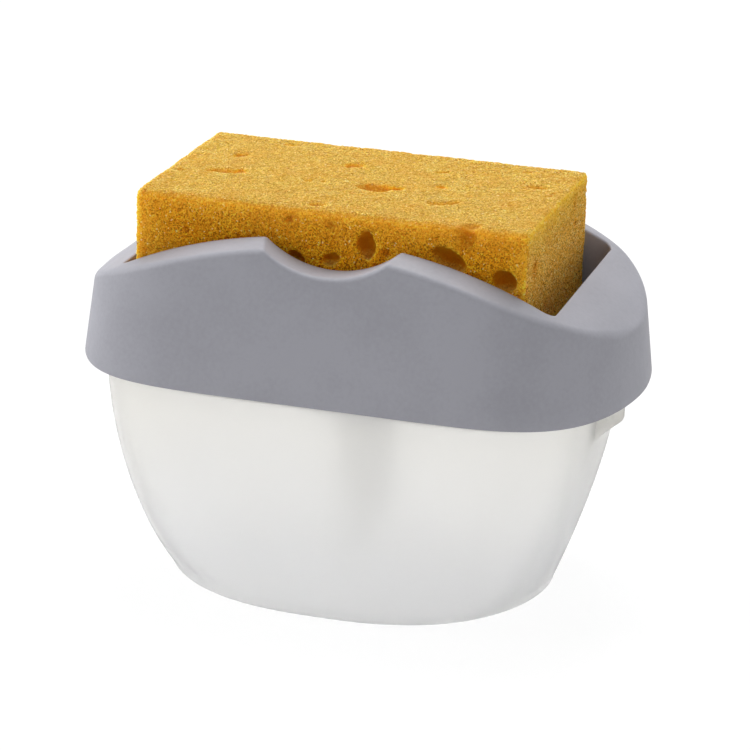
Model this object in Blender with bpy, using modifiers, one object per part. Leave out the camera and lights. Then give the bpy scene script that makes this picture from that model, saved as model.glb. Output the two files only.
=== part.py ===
"""Soap dispenser with a sponge holder.

The sponge lies in a well on a perforated plate. Pressing the plate works a spring pump that
lifts soap from the tank through the middle of the plate. The cover lifts off to fill the tank.
Metres, +Z up, origin at the middle of the tank's base, +X along the length, -Y the front.
"""
import math

import bmesh
import bpy
from mathutils import Matrix, Vector

# General
COVER_LENGTH = 0.1560         # at the skirt's lower edge, the longest of the whole part
COVER_WIDTH = 0.0960
TANK_HEIGHT = 0.0620
GAP = 0.0003                  # between two pieces that touch
NUDGE = 0.00003               # keeps two faces of joined shapes off each other

# Cover: a double wall round the well, with a long wave along its top
COVER_WALL = 0.0020
END_BAND = 0.01855            # from the skirt's lower edge to the well, at the ends
SIDE_BAND = 0.0140            # the same, along the sides
WELL_CORNER = 0.0030
SKIRT_OVERLAP = 0.00115       # of the skirt over the tank's rim
SKIRT_END_HEIGHT = 0.0191     # from the skirt's lower edge to the ledge at the ends
SKIRT_PEAK_HEIGHT = 0.0426    # the same, to the top of the wave
WAVE_ARC_DROP = 0.0200        # how far the wave's round middle falls before it turns out
WAVE_ARC_MARGIN = 0.0058      # from the end of that round middle to where the ledge is flat
LEDGE_START = 0.0020          # from the skirt's end to there
SKIRT_DRAFT = 0.12            # how far the skirt leans in, per height
LAND_SLOPE = 0.20             # how far the top falls outwards beside the well, per width
LAND_EASE = 0.0030            # width over which it starts to fall
CREASE_RADIUS = 0.0014        # outer edge of the top
RIM_RADIUS = 0.0008           # edge of the well
NOTCH_RADIUS = 0.0272         # finger notch through both long walls
NOTCH_DEPTH = 0.0086          # below the top of the wave
SKIRT_POWERS = (6.3, 1.8)     # how square the outline is

# Tank
TANK_WALL = 0.0020
TANK_END_GAP = 0.0086         # between its rim and the skirt, at the ends
TANK_SIDE_GAP = 0.0008        # the same, along the sides
TANK_POWERS_TOP = (5.9, 3.8)
TANK_POWERS_BASE = (2.4, 1.78)
TANK_END_TAPER = 0.20         # how much shorter the base is than the rim
TANK_SIDE_TAPER = 0.015
END_TAPER_POWER = 1.74        # how late the taper sets in, going down
SIDE_TAPER_POWER = 2.0
TANK_LEVELS = (1.0, 0.92, 0.74, 0.54, 0.37, 0.24, 0.13)   # of its outline, as shares of its height
TANK_BASE_RADIUS = 0.0022
LUG_LENGTH = 0.0050           # round finger lug under the skirt, past the rim at each end
LUG_WIDTH = 0.0180
LUG_HEIGHT = 0.0093           # of its outer face, below the skirt's edge
LUG_STEPS = 12

# Lid of the tank, which holds the pump
SEAL_THICKNESS = 0.0010
LID_THICKNESS = 0.0020
LID_INSET = 0.0003            # of its edge, from the tank's outside
LID_RIB_DEPTH = 0.0050
LID_RIB_WALL = 0.0016
LID_RIB_PLAY = 0.0005
LID_RIB_SHIFT = 0.5           # turns the rib's outline on, in steps, off the points of the plate's
FENCE_HEIGHT = 0.0048         # rib on the lid that the cover's well fits in
CLIP_WIDTH = 0.0080
CLIP_HEIGHT = 0.0018
CLIP_RISE = 0.0022            # from the lid to the clip's underside
CLIP_SPACING = 0.0700
CLIP_PLAY = 0.0004
CUP_WALL = 0.0018
CUP_PLAY = 0.0023             # round the collar, for fingers of a spanner

# Pump
STROKE = 0.0070
STOP_GAP = 0.0007             # left between hub and collar at the bottom of the stroke
FLOOR_GAP = 0.0009            # left between plate and lid there
CYLINDER_RADIUS = 0.0085
CYLINDER_WALL = 0.0015
FLANGE_RADIUS = 0.0109
FLANGE_THICKNESS = 0.0015
PUMP_FOOT_HEIGHT = 0.0120     # lower end of the cylinder's socket, above the table
SOCKET_DEPTH = 0.0068
SOCKET_WALL = 0.0017
SOCKET_SHOULDER = 0.0005
SEAT_HOLE = 0.0016
SEAT_FLOOR = 0.0010           # under the seat
SEAT_PLAY = 0.0009            # round the ball, above the seat's cone
POCKET_HEIGHT = 0.0025        # from the seat's cone to the cylinder's floor
BALL_RADIUS = 0.0024
BALL_LIFT = 0.0025
NECK_PLAY = 0.0004
NECK_HEIGHT = 0.0045
NECK_WALL = 0.0020
GASKET_THICKNESS = 0.0010
COLLAR_WALL = 0.0019
COLLAR_TOP = 0.0015
COLLAR_FOOT_GAP = 0.0004
GUIDE_FLANGE = 0.0012
GUIDE_PLUG = 0.0049
STEM_RADIUS = 0.0032
STEM_BORE = 0.0018
STEM_LEDGE = 0.0021           # in the piston, under the stem's foot
PISTON_LENGTH = 0.0085
PISTON_STOP_GAP = 0.00045     # left between piston and guide at rest
PISTON_LAND = 0.0030          # above and below the groove for its seal
PISTON_GROOVE = 0.0015
SEAL_PROUD = 0.0001           # of the seal's two lips, past the piston
CAGE_FLANGE = 0.0012
CAGE_WALL = 0.0009
CAGE_PLAY = 0.0006
CAGE_HOLE = 0.0012
WIRE_RADIUS = 0.00045
SPRING_TURNS = 7
SPRING_END_SHARE = 0.15       # how much closer its end turns lie, in turns
SPRING_SEAT_PLAY = 0.0004
DIP_RADIUS = 0.0040
DIP_WALL = 0.0010
DIP_FLOOR_GAP = 0.0020

# Press plate
PLATE_THICKNESS = 0.0025
PLATE_PLAY = 0.0005           # round its edge
SLOT_WIDTH = 0.0026
SLOT_COLUMNS = 5              # on each side of the middle
SLOT_FIRST = 0.0160
SLOT_LAST_MARGIN = 0.00775    # from the last slot to the plate's end
SLOT_ROW_GAP = 0.0110         # between the two rows, along the middle line
SLOT_ROW_MARGIN = 0.0080      # from a row to the plate's long edge
RIDGE_WIDTH = 0.0012
RIDGE_HEIGHT = 0.0008
RIDGE_MARGIN = 0.0055         # from a ridge's end to the plate's long edge
HUB_RADIUS = 0.0070
HUB_DROP = 0.0045             # below the plate, over the stem
HUB_PROUD = 0.0004
HUB_SHELF = 0.0010
VALVE_RADIUS = 0.0050
VALVE_FLANGE = 0.0009
VALVE_DOME = 0.0024
VALVE_TIP = 0.0012
VALVE_SHOULDER = 0.45         # where the dome starts to round in, as a share of its height
VALVE_HOLE = 0.0006
RETAINER_BORE = 0.0034

# Sponge, a little nearer the left end
SPONGE_THICKNESS = 0.0330
SPONGE_SIDE_GAP = 0.0018
SPONGE_LEFT_GAP = 0.0034
SPONGE_RIGHT_GAP = 0.0077
SPONGE_EDGE = 0.0010

# Larger pores of the sponge: place along X as a share of half its length, depth, width, height
FRONT_PORES = (
    (0.196, 0.0068, 0.0046, 0.0066),
    (0.614, 0.0086, 0.0086, 0.0052),
    (0.895, 0.0115, 0.0066, 0.0068),
    (0.014, 0.0119, 0.0046, 0.0036),
    (-0.170, 0.0126, 0.0036, 0.0034),
)
# On top: places along X and Y as shares of half the length and width, then length, width
TOP_PORES = (
    (-0.698, -0.124, 0.0110, 0.0042),
    (-0.724, 0.404, 0.0048, 0.0040),
    (-0.148, 0.472, 0.0060, 0.0050),
    (0.081, -0.134, 0.0112, 0.0066),
    (0.382, 0.112, 0.0044, 0.0036),
    (0.469, -0.342, 0.0080, 0.0038),
)
PORE_FLATNESS = 2.6           # of the pores on top, width over depth

# Divisions
WALL_STEPS_OUT = 4            # columns from the long walls' ends to the notch
WALL_STEPS_NOTCH = 8
END_STEPS = 10                # columns in each quarter of an end
END_WALL_SHARE = 0.4          # of them that lie on the well's end wall
END_CORNER_SHARE = 0.4        # and on its corner, before the long wall
TANK_COLUMNS = 48
ROUND_STEPS = 24
CREASE_ROUNDS = 8             # in which a point of the crease is found
REACH_LEAST = 0.5             # range in which an outline is searched, in half sizes
REACH_MOST = 2.0

# Levels, from the table up
lid_bottom = TANK_HEIGHT + 2 * GAP + SEAL_THICKNESS
lid_top = lid_bottom + LID_THICKNESS
skirt_bottom = TANK_HEIGHT - SKIRT_OVERLAP
ledge_z = skirt_bottom + SKIRT_END_HEIGHT
peak_z = skirt_bottom + SKIRT_PEAK_HEIGHT
well_bottom = lid_top + GAP
plate_bottom = lid_top + STROKE + FLOOR_GAP
plate_top = plate_bottom + PLATE_THICKNESS
sponge_bottom = plate_top + RIDGE_HEIGHT + GAP
sponge_top = sponge_bottom + SPONGE_THICKNESS

# Outlines
skirt_x = COVER_LENGTH / 2
skirt_y = COVER_WIDTH / 2
well_x = skirt_x - END_BAND
well_y = skirt_y - SIDE_BAND
wall_end = well_x - 3 * WELL_CORNER   # where the columns of the long walls end
rim_x = skirt_x - COVER_WALL - TANK_END_GAP
rim_y = skirt_y - COVER_WALL - TANK_SIDE_GAP

# Wave and notch along the cover's top, two circles in the plane of the long walls
ledge_x = skirt_x - LEDGE_START
arc_x = ledge_x - WAVE_ARC_MARGIN
arc_radius = (arc_x ** 2 + WAVE_ARC_DROP ** 2) / (2 * WAVE_ARC_DROP)
arc_centre_z = peak_z - arc_radius
arc_end_z = peak_z - WAVE_ARC_DROP
notch_centre_z = peak_z - NOTCH_DEPTH + NOTCH_RADIUS


def land_fall(y):
    """How far the top has fallen at a distance from the middle: a soft start, then a slope."""
    width = max(0.0, abs(y) - well_y)
    if width < LAND_EASE:
        return LAND_SLOPE * width ** 2 / (2 * LAND_EASE)
    return LAND_SLOPE * (width - LAND_EASE / 2)


def notch_edge(y):
    """Half the notch's length at a distance from the middle, where its circle meets the wave's."""
    centre_z = arc_centre_z - land_fall(y)
    z = ((arc_radius ** 2 - NOTCH_RADIUS ** 2 - centre_z ** 2 + notch_centre_z ** 2)
         / (2 * (notch_centre_z - centre_z)))
    return math.sqrt(NOTCH_RADIUS ** 2 - (notch_centre_z - z) ** 2)


notch_edge_x = notch_edge(well_y)
crease_edge_x = notch_edge(skirt_y - SKIRT_DRAFT * SKIRT_PEAK_HEIGHT)

# Pump levels: the plate's hub at the bottom of the stroke sets the collar's top
neck_radius = CYLINDER_RADIUS + NECK_PLAY
collar_radius = FLANGE_RADIUS + GAP + COLLAR_WALL
cup_radius = collar_radius + CUP_PLAY
stack_height = (NECK_HEIGHT + GASKET_THICKNESS + FLANGE_THICKNESS + GUIDE_FLANGE + COLLAR_TOP
                + 4 * GAP)
collar_top = plate_bottom - HUB_DROP - STROKE - STOP_GAP
cup_floor = collar_top - stack_height
neck_top = cup_floor + NECK_HEIGHT
gasket_bottom = neck_top + GAP
flange_bottom = gasket_bottom + GASKET_THICKNESS + GAP
flange_top = flange_bottom + FLANGE_THICKNESS
guide_bottom = flange_top + GAP
guide_top = guide_bottom + GUIDE_FLANGE
collar_ceiling = guide_top + GAP
hub_bottom = plate_bottom - HUB_DROP
bore_radius = CYLINDER_RADIUS - CYLINDER_WALL
slider_radius = bore_radius - GAP
plug_bottom = guide_bottom - GUIDE_PLUG
piston_top = plug_bottom - PISTON_STOP_GAP
piston_bottom = piston_top - PISTON_LENGTH
socket_top = PUMP_FOOT_HEIGHT + SOCKET_DEPTH
seat_bottom = socket_top + SEAT_FLOOR
seat_radius = BALL_RADIUS + SEAT_PLAY
seat_top = seat_bottom + seat_radius - SEAT_HOLE
ball_z = seat_bottom - SEAT_HOLE + math.sqrt(2) * (BALL_RADIUS + GAP)
cylinder_floor = seat_top + POCKET_HEIGHT
cage_bottom = cylinder_floor + GAP
cage_flange_top = cage_bottom + CAGE_FLANGE
cage_ceiling = ball_z + BALL_RADIUS + BALL_LIFT + GAP
spring_bottom = cage_flange_top + GAP
spring_top = piston_bottom - GAP
spring_radius = slider_radius - SPRING_SEAT_PLAY - 2 * WIRE_RADIUS
shelf_bottom = plate_top - HUB_SHELF - VALVE_FLANGE - 2 * GAP
stem_top = shelf_bottom - GAP

for item in list(bpy.context.scene.objects):
    bpy.data.objects.remove(item, do_unlink=True)

parts = bpy.data.collections.new("soap_dispenser")
cutters = bpy.data.collections.new("cutters")
bpy.context.scene.collection.children.link(parts)
bpy.context.scene.collection.children.link(cutters)


def material(name, colour, roughness, metallic=0.0):
    """One Principled material."""
    made = bpy.data.materials.new(name)
    made.use_nodes = True
    shader = made.node_tree.nodes["Principled BSDF"]
    shader.inputs["Base Color"].default_value = (*colour, 1.0)
    shader.inputs["Roughness"].default_value = roughness
    shader.inputs["Metallic"].default_value = metallic
    made.diffuse_color = (*colour, 1.0)
    return made


def place(name, mesh, colour, roughness, metallic=0.0, location=(0, 0, 0)):
    """A named piece of the object in its own material."""
    piece = bpy.data.objects.new(name, mesh)
    mesh.materials.append(material(name, colour, roughness, metallic))
    piece.location = location
    parts.objects.link(piece)
    return piece


def guide_object(name, mesh, location=(0, 0, 0), scale=(1, 1, 1)):
    """A shape that only cuts or joins another piece."""
    piece = bpy.data.objects.new(name, mesh)
    piece.location = location
    piece.scale = scale
    piece.hide_render = True
    piece.display_type = "WIRE"
    cutters.objects.link(piece)
    return piece


def combine(piece, other, operation):
    """Cut or join with the exact solver."""
    step = piece.modifiers.new(other.name, "BOOLEAN")
    step.operation = operation
    step.object = other
    step.solver = "EXACT"


def smooth(mesh, angle=35):
    mesh.shade_smooth()
    mesh.set_sharp_from_angle(angle=math.radians(angle))


def mesh_from(name, points, faces):
    mesh = bpy.data.meshes.new(name)
    mesh.from_pydata([tuple(p) for p in points], [], faces)
    mesh.update()
    return mesh


def box_mesh(name, size, centres=((0, 0, 0),)):
    """Boxes of one size, with their middles at the given places."""
    shape = bmesh.new()
    for centre in centres:
        matrix = Matrix.Translation(centre) @ Matrix.Diagonal((*size, 1))
        bmesh.ops.create_cube(shape, size=1.0, matrix=matrix)
    mesh = bpy.data.meshes.new(name)
    shape.to_mesh(mesh)
    shape.free()
    return mesh


def flat_mesh(name, loops, thickness, bottom):
    """A plate from closed outlines; the inner outlines are its holes."""
    curve = bpy.data.curves.new(name, "CURVE")
    curve.dimensions = "2D"
    curve.fill_mode = "BOTH"
    curve.extrude = thickness / 2
    for loop in loops:
        spline = curve.splines.new("POLY")
        spline.points.add(len(loop) - 1)
        for point, (x, y) in zip(spline.points, loop):
            point.co = (x, y, 0, 1)
        spline.use_cyclic_u = True
    holder = bpy.data.objects.new(name, curve)
    parts.objects.link(holder)
    mesh = curve_mesh(holder)
    mesh.transform(Matrix.Translation((0, 0, bottom + thickness / 2)))
    return mesh


def curve_mesh(holder):
    """The closed mesh of a curve object, which is then removed."""
    bpy.context.view_layer.update()
    seen = holder.evaluated_get(bpy.context.evaluated_depsgraph_get())
    mesh = bpy.data.meshes.new_from_object(seen)
    mesh.name = holder.name
    shape = bmesh.new()
    shape.from_mesh(mesh)
    bmesh.ops.remove_doubles(shape, verts=shape.verts, dist=0.00001)
    shape.to_mesh(mesh)
    shape.free()
    curve = holder.data
    bpy.data.objects.remove(holder, do_unlink=True)
    bpy.data.curves.remove(curve)
    mesh.materials.clear()
    return mesh


def turn(piece, steps=ROUND_STEPS):
    """Turn a profile about the piece's Z axis."""
    spin = piece.modifiers.new("turned", "SCREW")
    spin.axis = "Z"
    spin.steps = steps
    spin.render_steps = steps
    spin.use_merge_vertices = True
    spin.merge_threshold = 0.00001
    spin.use_smooth_shade = False


def turned_mesh(name, profile):
    """A closed profile in the XZ plane, given down its outer side and up its inner side."""
    count = len(profile)
    mesh = bpy.data.meshes.new(name)
    mesh.from_pydata([(r, 0, z) for r, z in profile], [(i, (i + 1) % count) for i in range(count)], [])
    return mesh


def circle(radius, count=ROUND_STEPS):
    angles = (2 * math.pi * i / count for i in range(count))
    return [(radius * math.cos(a), radius * math.sin(a)) for a in angles]


def rounded_rectangle(half_x, half_y, radius, steps=4):
    points = []
    for quarter in range(4):
        sx = 1 if quarter in (0, 3) else -1
        sy = 1 if quarter in (0, 1) else -1
        for i in range(steps + 1):
            angle = math.pi / 2 * (quarter + i / steps)
            points.append((sx * (half_x - radius) + radius * math.cos(angle),
                           sy * (half_y - radius) + radius * math.sin(angle)))
    return points


def slot(centre_x, centre_y, width, length, steps=2):
    """A slot along Y with round ends."""
    radius = width / 2
    points = []
    for end in (1, -1):
        for i in range(steps + 1):
            angle = math.pi * i / steps + (0 if end > 0 else math.pi)
            points.append((centre_x + radius * math.cos(angle),
                           centre_y + end * (length / 2 - radius) + radius * math.sin(angle)))
    return points


def bisect(rising, low, high, rounds=48):
    """Where a rising function passes zero."""
    for _ in range(rounds):
        middle = (low + high) / 2
        if rising(middle) > 0:
            high = middle
        else:
            low = middle
    return (low + high) / 2


def oval(half_x, half_y, powers, shift=0.0, count=TANK_COLUMNS):
    """A rounded rectangle whose sides are slightly bowed everywhere; shift turns its points on."""
    points = []
    for i in range(count):
        angle = 2 * math.pi * (i + shift) / count
        c = math.cos(angle)
        s = math.sin(angle)
        reach = bisect(lambda k: (k * abs(c)) ** powers[0] + (k * abs(s)) ** powers[1] - 1,
                       REACH_LEAST, REACH_MOST)
        points.append((half_x * reach * c, half_y * reach * s))
    return points


def blend(a, b, share):
    return a + (b - a) * share


# Tank

def tank_ring(z, inset=0.0):
    """Outline of the tank's outside at a height."""
    fall = max(0.0, 1 - z / skirt_bottom)
    end_share = fall ** END_TAPER_POWER
    half_x = rim_x * (1 - TANK_END_TAPER * end_share)
    half_y = rim_y * (1 - TANK_SIDE_TAPER * fall ** SIDE_TAPER_POWER)
    powers = [blend(t, b, end_share) for t, b in zip(TANK_POWERS_TOP, TANK_POWERS_BASE)]
    return [(x, y, z) for x, y in oval(half_x - inset, half_y - inset, powers)]


def bridge(rings):
    """Quads between rings of equal length."""
    count = len(rings[0])
    faces = []
    for k in range(len(rings) - 1):
        for i in range(count):
            j = (i + 1) % count
            faces.append((k * count + i, (k + 1) * count + i, (k + 1) * count + j, k * count + j))
    return faces


def tank_piece():
    rings = [tank_ring(share * TANK_HEIGHT) for share in TANK_LEVELS]
    for i in range(4):
        angle = math.pi / 2 * i / 3
        z = TANK_BASE_RADIUS * (1 - math.sin(angle))
        rings.append([(x, y, z) for x, y, _ in
                      tank_ring(TANK_BASE_RADIUS, TANK_BASE_RADIUS * (1 - math.cos(angle)))])
    points = [p for ring in rings for p in ring]
    faces = bridge(rings)
    base = len(points) - TANK_COLUMNS
    faces.append(tuple(base + i for i in reversed(range(TANK_COLUMNS))))
    mesh = mesh_from("tank", points, faces)
    smooth(mesh)
    tank = place("tank", mesh, (0.86, 0.87, 0.86), 0.35)
    wall = tank.modifiers.new("wall", "SOLIDIFY")
    wall.thickness = TANK_WALL
    wall.offset = -1
    wall.use_even_offset = True
    for side in (1, -1):
        combine(tank, guide_object("tank_lug", lug_mesh(side)), "UNION")
    return tank


def lug_mesh(side):
    """A round tab under the skirt, whose lower face slopes in to the tank's wall."""
    tip = rim_x + LUG_LENGTH
    low = skirt_bottom - LUG_HEIGHT
    foot = low - LUG_LENGTH - TANK_WALL / 2
    inner = max(x for x, _, _ in tank_ring(foot)) - TANK_WALL / 2
    points = []
    for i in range(LUG_STEPS + 1):
        angle = math.pi * (i / LUG_STEPS - 0.5)
        x = inner + (tip - inner) * math.cos(angle)
        y = LUG_WIDTH / 2 * math.sin(angle)
        points += [(side * x, y, TANK_HEIGHT - GAP), (side * x, y, low), (side * inner, y, foot)]
    mesh = mesh_from("tank_lug", points, [])
    shape = bmesh.new()
    shape.from_mesh(mesh)
    bmesh.ops.remove_doubles(shape, verts=shape.verts, dist=NUDGE)
    hull = bmesh.ops.convex_hull(shape, input=shape.verts)
    bmesh.ops.delete(shape, geom=hull["geom_interior"], context="VERTS")
    bmesh.ops.recalc_face_normals(shape, faces=shape.faces)
    shape.to_mesh(mesh)
    shape.free()
    return mesh


# Cover

def wave(x):
    """Height of the cover's top without its notch: an arc, then an S out to the flat ledge."""
    x = abs(x)
    if x <= arc_x:
        return arc_centre_z + math.sqrt(arc_radius ** 2 - x ** 2)
    run = ledge_x - arc_x
    t = min(1.0, (x - arc_x) / run)
    slope = -arc_x / math.sqrt(arc_radius ** 2 - arc_x ** 2)
    start = 2 * t ** 3 - 3 * t ** 2 + 1
    lean = (t ** 3 - 2 * t ** 2 + t) * run * slope
    return start * arc_end_z + lean + (1 - start) * ledge_z


def surface(x, y):
    """Height of the cover's top: the wave, which falls outwards, and the notch, cut level."""
    high = wave(x) - land_fall(y)
    if abs(x) >= NOTCH_RADIUS:
        return high
    return min(high, notch_centre_z - math.sqrt(NOTCH_RADIUS ** 2 - x ** 2))


def skirt_shape(z, inset):
    lean = SKIRT_DRAFT * (z - skirt_bottom) + inset
    return skirt_x - lean, skirt_y - lean


def slide(x):
    """Where a place along the long wall lies on the skirt: the notch is shorter there."""
    shift = notch_edge_x - crease_edge_x
    beyond = max(0.0, (abs(x) - notch_edge_x) / (wall_end - notch_edge_x))
    share = min(1.0, abs(x) / notch_edge_x) * (1 - beyond)
    return x - math.copysign(shift * share, x)


def columns():
    """Places round the cover: a side and an X along the long walls, an end and a share round it."""
    outer = [blend(wall_end, notch_edge_x, i / WALL_STEPS_OUT) for i in range(WALL_STEPS_OUT)]
    inner = [blend(notch_edge_x, -notch_edge_x, i / WALL_STEPS_NOTCH)
             for i in range(WALL_STEPS_NOTCH)]
    along = outer + inner + [-notch_edge_x] + [-x for x in reversed(outer[1:])]
    ends = [i / END_STEPS for i in range(END_STEPS, -END_STEPS, -1)]
    loop = [("wall", 1, x) for x in along]
    loop += [("end", -1, v) for v in ends]
    loop += [("wall", -1, -x) for x in along]
    loop += [("end", 1, -v) for v in ends]
    return loop


def outer_point(column, z, inset):
    """A point of the skirt's outline, moved in by an inset."""
    half_x, half_y = skirt_shape(z, inset)
    p, q = SKIRT_POWERS
    kind, side, value = column
    if kind == "wall":
        x = slide(value)
        return x, side * half_y * (1 - (abs(x) / half_x) ** p) ** (1 / q)
    limit = math.acos((wall_end / half_x) ** (p / 2))
    angle = limit * abs(value)
    y = math.copysign(half_y * math.sin(angle) ** (2 / q), value)
    return side * half_x * math.cos(angle) ** (2 / p), y


def inner_point(column, offset):
    """A point of the well's outline, moved out by an offset."""
    kind, side, value = column
    if kind == "wall":
        return value, side * (well_y + offset)
    share = abs(value)
    sign = 1 if value >= 0 else -1
    corner_x = well_x - WELL_CORNER
    corner_y = well_y - WELL_CORNER
    radius = WELL_CORNER + offset
    long_wall = END_WALL_SHARE + END_CORNER_SHARE
    if share > long_wall:
        x = blend(wall_end, corner_x, (1 - share) / (1 - long_wall))
        return side * x, sign * (well_y + offset)
    if share > END_WALL_SHARE:
        angle = math.pi / 2 * (share - END_WALL_SHARE) / END_CORNER_SHARE
        return (side * (corner_x + radius * math.cos(angle)),
                sign * (corner_y + radius * math.sin(angle)))
    return side * (well_x + offset), sign * corner_y * share / END_WALL_SHARE


def section(column):
    """The cover's wall at one place: up the well, over the top, down the skirt and back inside."""
    points = []

    def inner(offset, drop=None, z=None):
        x, y = inner_point(column, offset)
        points.append((x, y, z if drop is None else surface(x, y) - drop))

    def outer(inset, drop):
        x, y = outer_point(column, ledge_z, inset)
        for _ in range(CREASE_ROUNDS):
            x, y = outer_point(column, surface(x, y) - drop, inset)
        points.append((x, y, surface(x, y) - drop))

    def land(drop, start, end, count):
        for i in range(1, count + 1):
            x = blend(start[0], end[0], i / (count + 1))
            y = blend(start[1], end[1], i / (count + 1))
            points.append((x, y, surface(x, y) - drop))

    inner(0, z=well_bottom)
    inner(0, z=blend(well_bottom, surface(*inner_point(column, 0)) - RIM_RADIUS, 0.5))
    for angle in (0, 45, 90):
        a = math.radians(angle)
        inner(RIM_RADIUS * (1 - math.cos(a)), RIM_RADIUS * (1 - math.sin(a)))
    mark = len(points)
    for angle in (0, 30, 60, 90):
        a = math.radians(angle)
        outer(CREASE_RADIUS * (1 - math.sin(a)), CREASE_RADIUS * (1 - math.cos(a)))
    tail = points[mark:]
    del points[mark:]
    land(0, points[-1], tail[0], 3)
    points += tail
    crease = tail[-1][2]
    for share in (0.5, 0.0):
        z = blend(skirt_bottom, crease, share)
        points.append((*outer_point(column, z, 0), z))
    for share in (0.0, 0.5):
        z = blend(skirt_bottom, crease, share)
        points.append((*outer_point(column, z, COVER_WALL), z))
    outer(COVER_WALL, COVER_WALL)
    mark = len(points)
    inner(COVER_WALL, COVER_WALL)
    tail = points[mark:]
    del points[mark:]
    land(COVER_WALL, points[-1], tail[0], 2)
    points += tail
    inner(COVER_WALL, z=well_bottom)
    return points


def cover_piece():
    rings = [section(column) for column in columns()]
    count = len(rings[0])
    points = [p for ring in rings for p in ring]
    faces = []
    for k in range(len(rings)):
        after = (k + 1) % len(rings)
        for i in range(count):
            j = (i + 1) % count
            faces.append((k * count + i, k * count + j, after * count + j, after * count + i))
    mesh = mesh_from("cover", points, faces)
    smooth(mesh, 50)
    cover = place("cover", mesh, (0.29, 0.29, 0.31), 0.5)
    windows = [(side * CLIP_SPACING / 2, face * (well_y + COVER_WALL / 2),
                lid_top + CLIP_RISE + CLIP_HEIGHT / 2) for side in (1, -1) for face in (1, -1)]
    size = (CLIP_WIDTH + 2 * CLIP_PLAY, 2 * COVER_WALL, CLIP_HEIGHT + 2 * CLIP_PLAY)
    combine(cover, guide_object("clip_windows", box_mesh("clip_windows", size, windows)), "DIFFERENCE")
    return cover


# Lid and seal

def seal_piece():
    outer = oval(rim_x - LID_INSET, rim_y - LID_INSET, TANK_POWERS_TOP)
    inner = oval(rim_x - TANK_WALL, rim_y - TANK_WALL, TANK_POWERS_TOP)
    mesh = flat_mesh("lid_seal", [outer, inner], SEAL_THICKNESS, TANK_HEIGHT + GAP)
    return place("lid_seal", mesh, (0.75, 0.75, 0.76), 0.6)


def lid_piece():
    hole = circle(cup_radius)
    plate = [oval(rim_x - LID_INSET, rim_y - LID_INSET, TANK_POWERS_TOP), hole]
    lid = place("tank_lid", flat_mesh("tank_lid", plate, LID_THICKNESS, lid_bottom),
                (0.62, 0.62, 0.65), 0.5)
    overlap = LID_THICKNESS / 2
    inset = TANK_WALL + LID_RIB_PLAY
    rib = [oval(rim_x - inset, rim_y - inset, TANK_POWERS_TOP, LID_RIB_SHIFT),
           oval(rim_x - inset - LID_RIB_WALL, rim_y - inset - LID_RIB_WALL, TANK_POWERS_TOP,
                LID_RIB_SHIFT)]
    rib_mesh = flat_mesh("lid_rib", rib, LID_RIB_DEPTH + overlap, lid_bottom - LID_RIB_DEPTH)
    combine(lid, guide_object("lid_rib", rib_mesh), "UNION")
    inset = COVER_WALL + GAP
    fence = [rounded_rectangle(well_x + inset + LID_RIB_WALL, well_y + inset + LID_RIB_WALL,
                               WELL_CORNER + inset + LID_RIB_WALL),
             rounded_rectangle(well_x + inset, well_y + inset, WELL_CORNER + inset)]
    fence_mesh = flat_mesh("lid_fence", fence, FENCE_HEIGHT + overlap, lid_top - overlap)
    combine(lid, guide_object("lid_fence", fence_mesh), "UNION")
    reach = inset + LID_RIB_WALL / 2 - COVER_WALL / 4
    clips = [(side * CLIP_SPACING / 2, face * (well_y + COVER_WALL / 4 + reach / 2),
              lid_top + CLIP_RISE + CLIP_HEIGHT / 2) for side in (1, -1) for face in (1, -1)]
    clip_mesh = box_mesh("lid_clips", (CLIP_WIDTH, reach, CLIP_HEIGHT), clips)
    combine(lid, guide_object("lid_clips", clip_mesh), "UNION")
    outer = cup_radius + CUP_WALL
    lip = lid_bottom + overlap
    profile = [(outer, lip), (outer, cup_floor - CUP_WALL), (neck_radius, cup_floor - CUP_WALL),
               (neck_radius, neck_top), (neck_radius + NECK_WALL, neck_top),
               (neck_radius + NECK_WALL, cup_floor), (cup_radius + NUDGE, cup_floor),
               (cup_radius + NUDGE, lip)]
    cup = guide_object("lid_cup", turned_mesh("lid_cup", profile))
    turn(cup)
    combine(lid, cup, "UNION")
    return lid


# Pump

def pump_piece(name, profile, colour, roughness, metallic=0.0, steps=ROUND_STEPS):
    piece = place(name, turned_mesh(name, profile), colour, roughness, metallic)
    turn(piece, steps)
    return piece


def cylinder_piece():
    socket_bore = DIP_RADIUS + GAP
    socket_radius = socket_bore + SOCKET_WALL
    profile = [(FLANGE_RADIUS, flange_top), (FLANGE_RADIUS, flange_bottom),
               (CYLINDER_RADIUS, flange_bottom), (CYLINDER_RADIUS, seat_bottom),
               (socket_radius, socket_top - SOCKET_SHOULDER), (socket_radius, PUMP_FOOT_HEIGHT),
               (socket_bore, PUMP_FOOT_HEIGHT), (socket_bore, socket_top), (SEAT_HOLE, socket_top),
               (SEAT_HOLE, seat_bottom), (seat_radius, seat_top), (seat_radius, cylinder_floor),
               (bore_radius, cylinder_floor), (bore_radius, flange_top)]
    return pump_piece("pump_cylinder", profile, (0.80, 0.82, 0.84), 0.4)


def gasket_piece():
    inner = neck_radius
    outer = neck_radius + NECK_WALL
    top_z = gasket_bottom + GASKET_THICKNESS
    profile = [(outer, top_z), (outer, gasket_bottom), (inner, gasket_bottom), (inner, top_z)]
    return pump_piece("collar_gasket", profile, (0.20, 0.20, 0.21), 0.7)


def collar_piece():
    skirt = FLANGE_RADIUS + GAP
    foot = cup_floor + COLLAR_FOOT_GAP
    hole = STEM_RADIUS + 2 * GAP
    profile = [(collar_radius, collar_top), (collar_radius, foot), (skirt, foot),
               (skirt, collar_ceiling), (hole, collar_ceiling), (hole, collar_top)]
    return pump_piece("pump_collar", profile, (0.78, 0.79, 0.80), 0.4)


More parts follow.
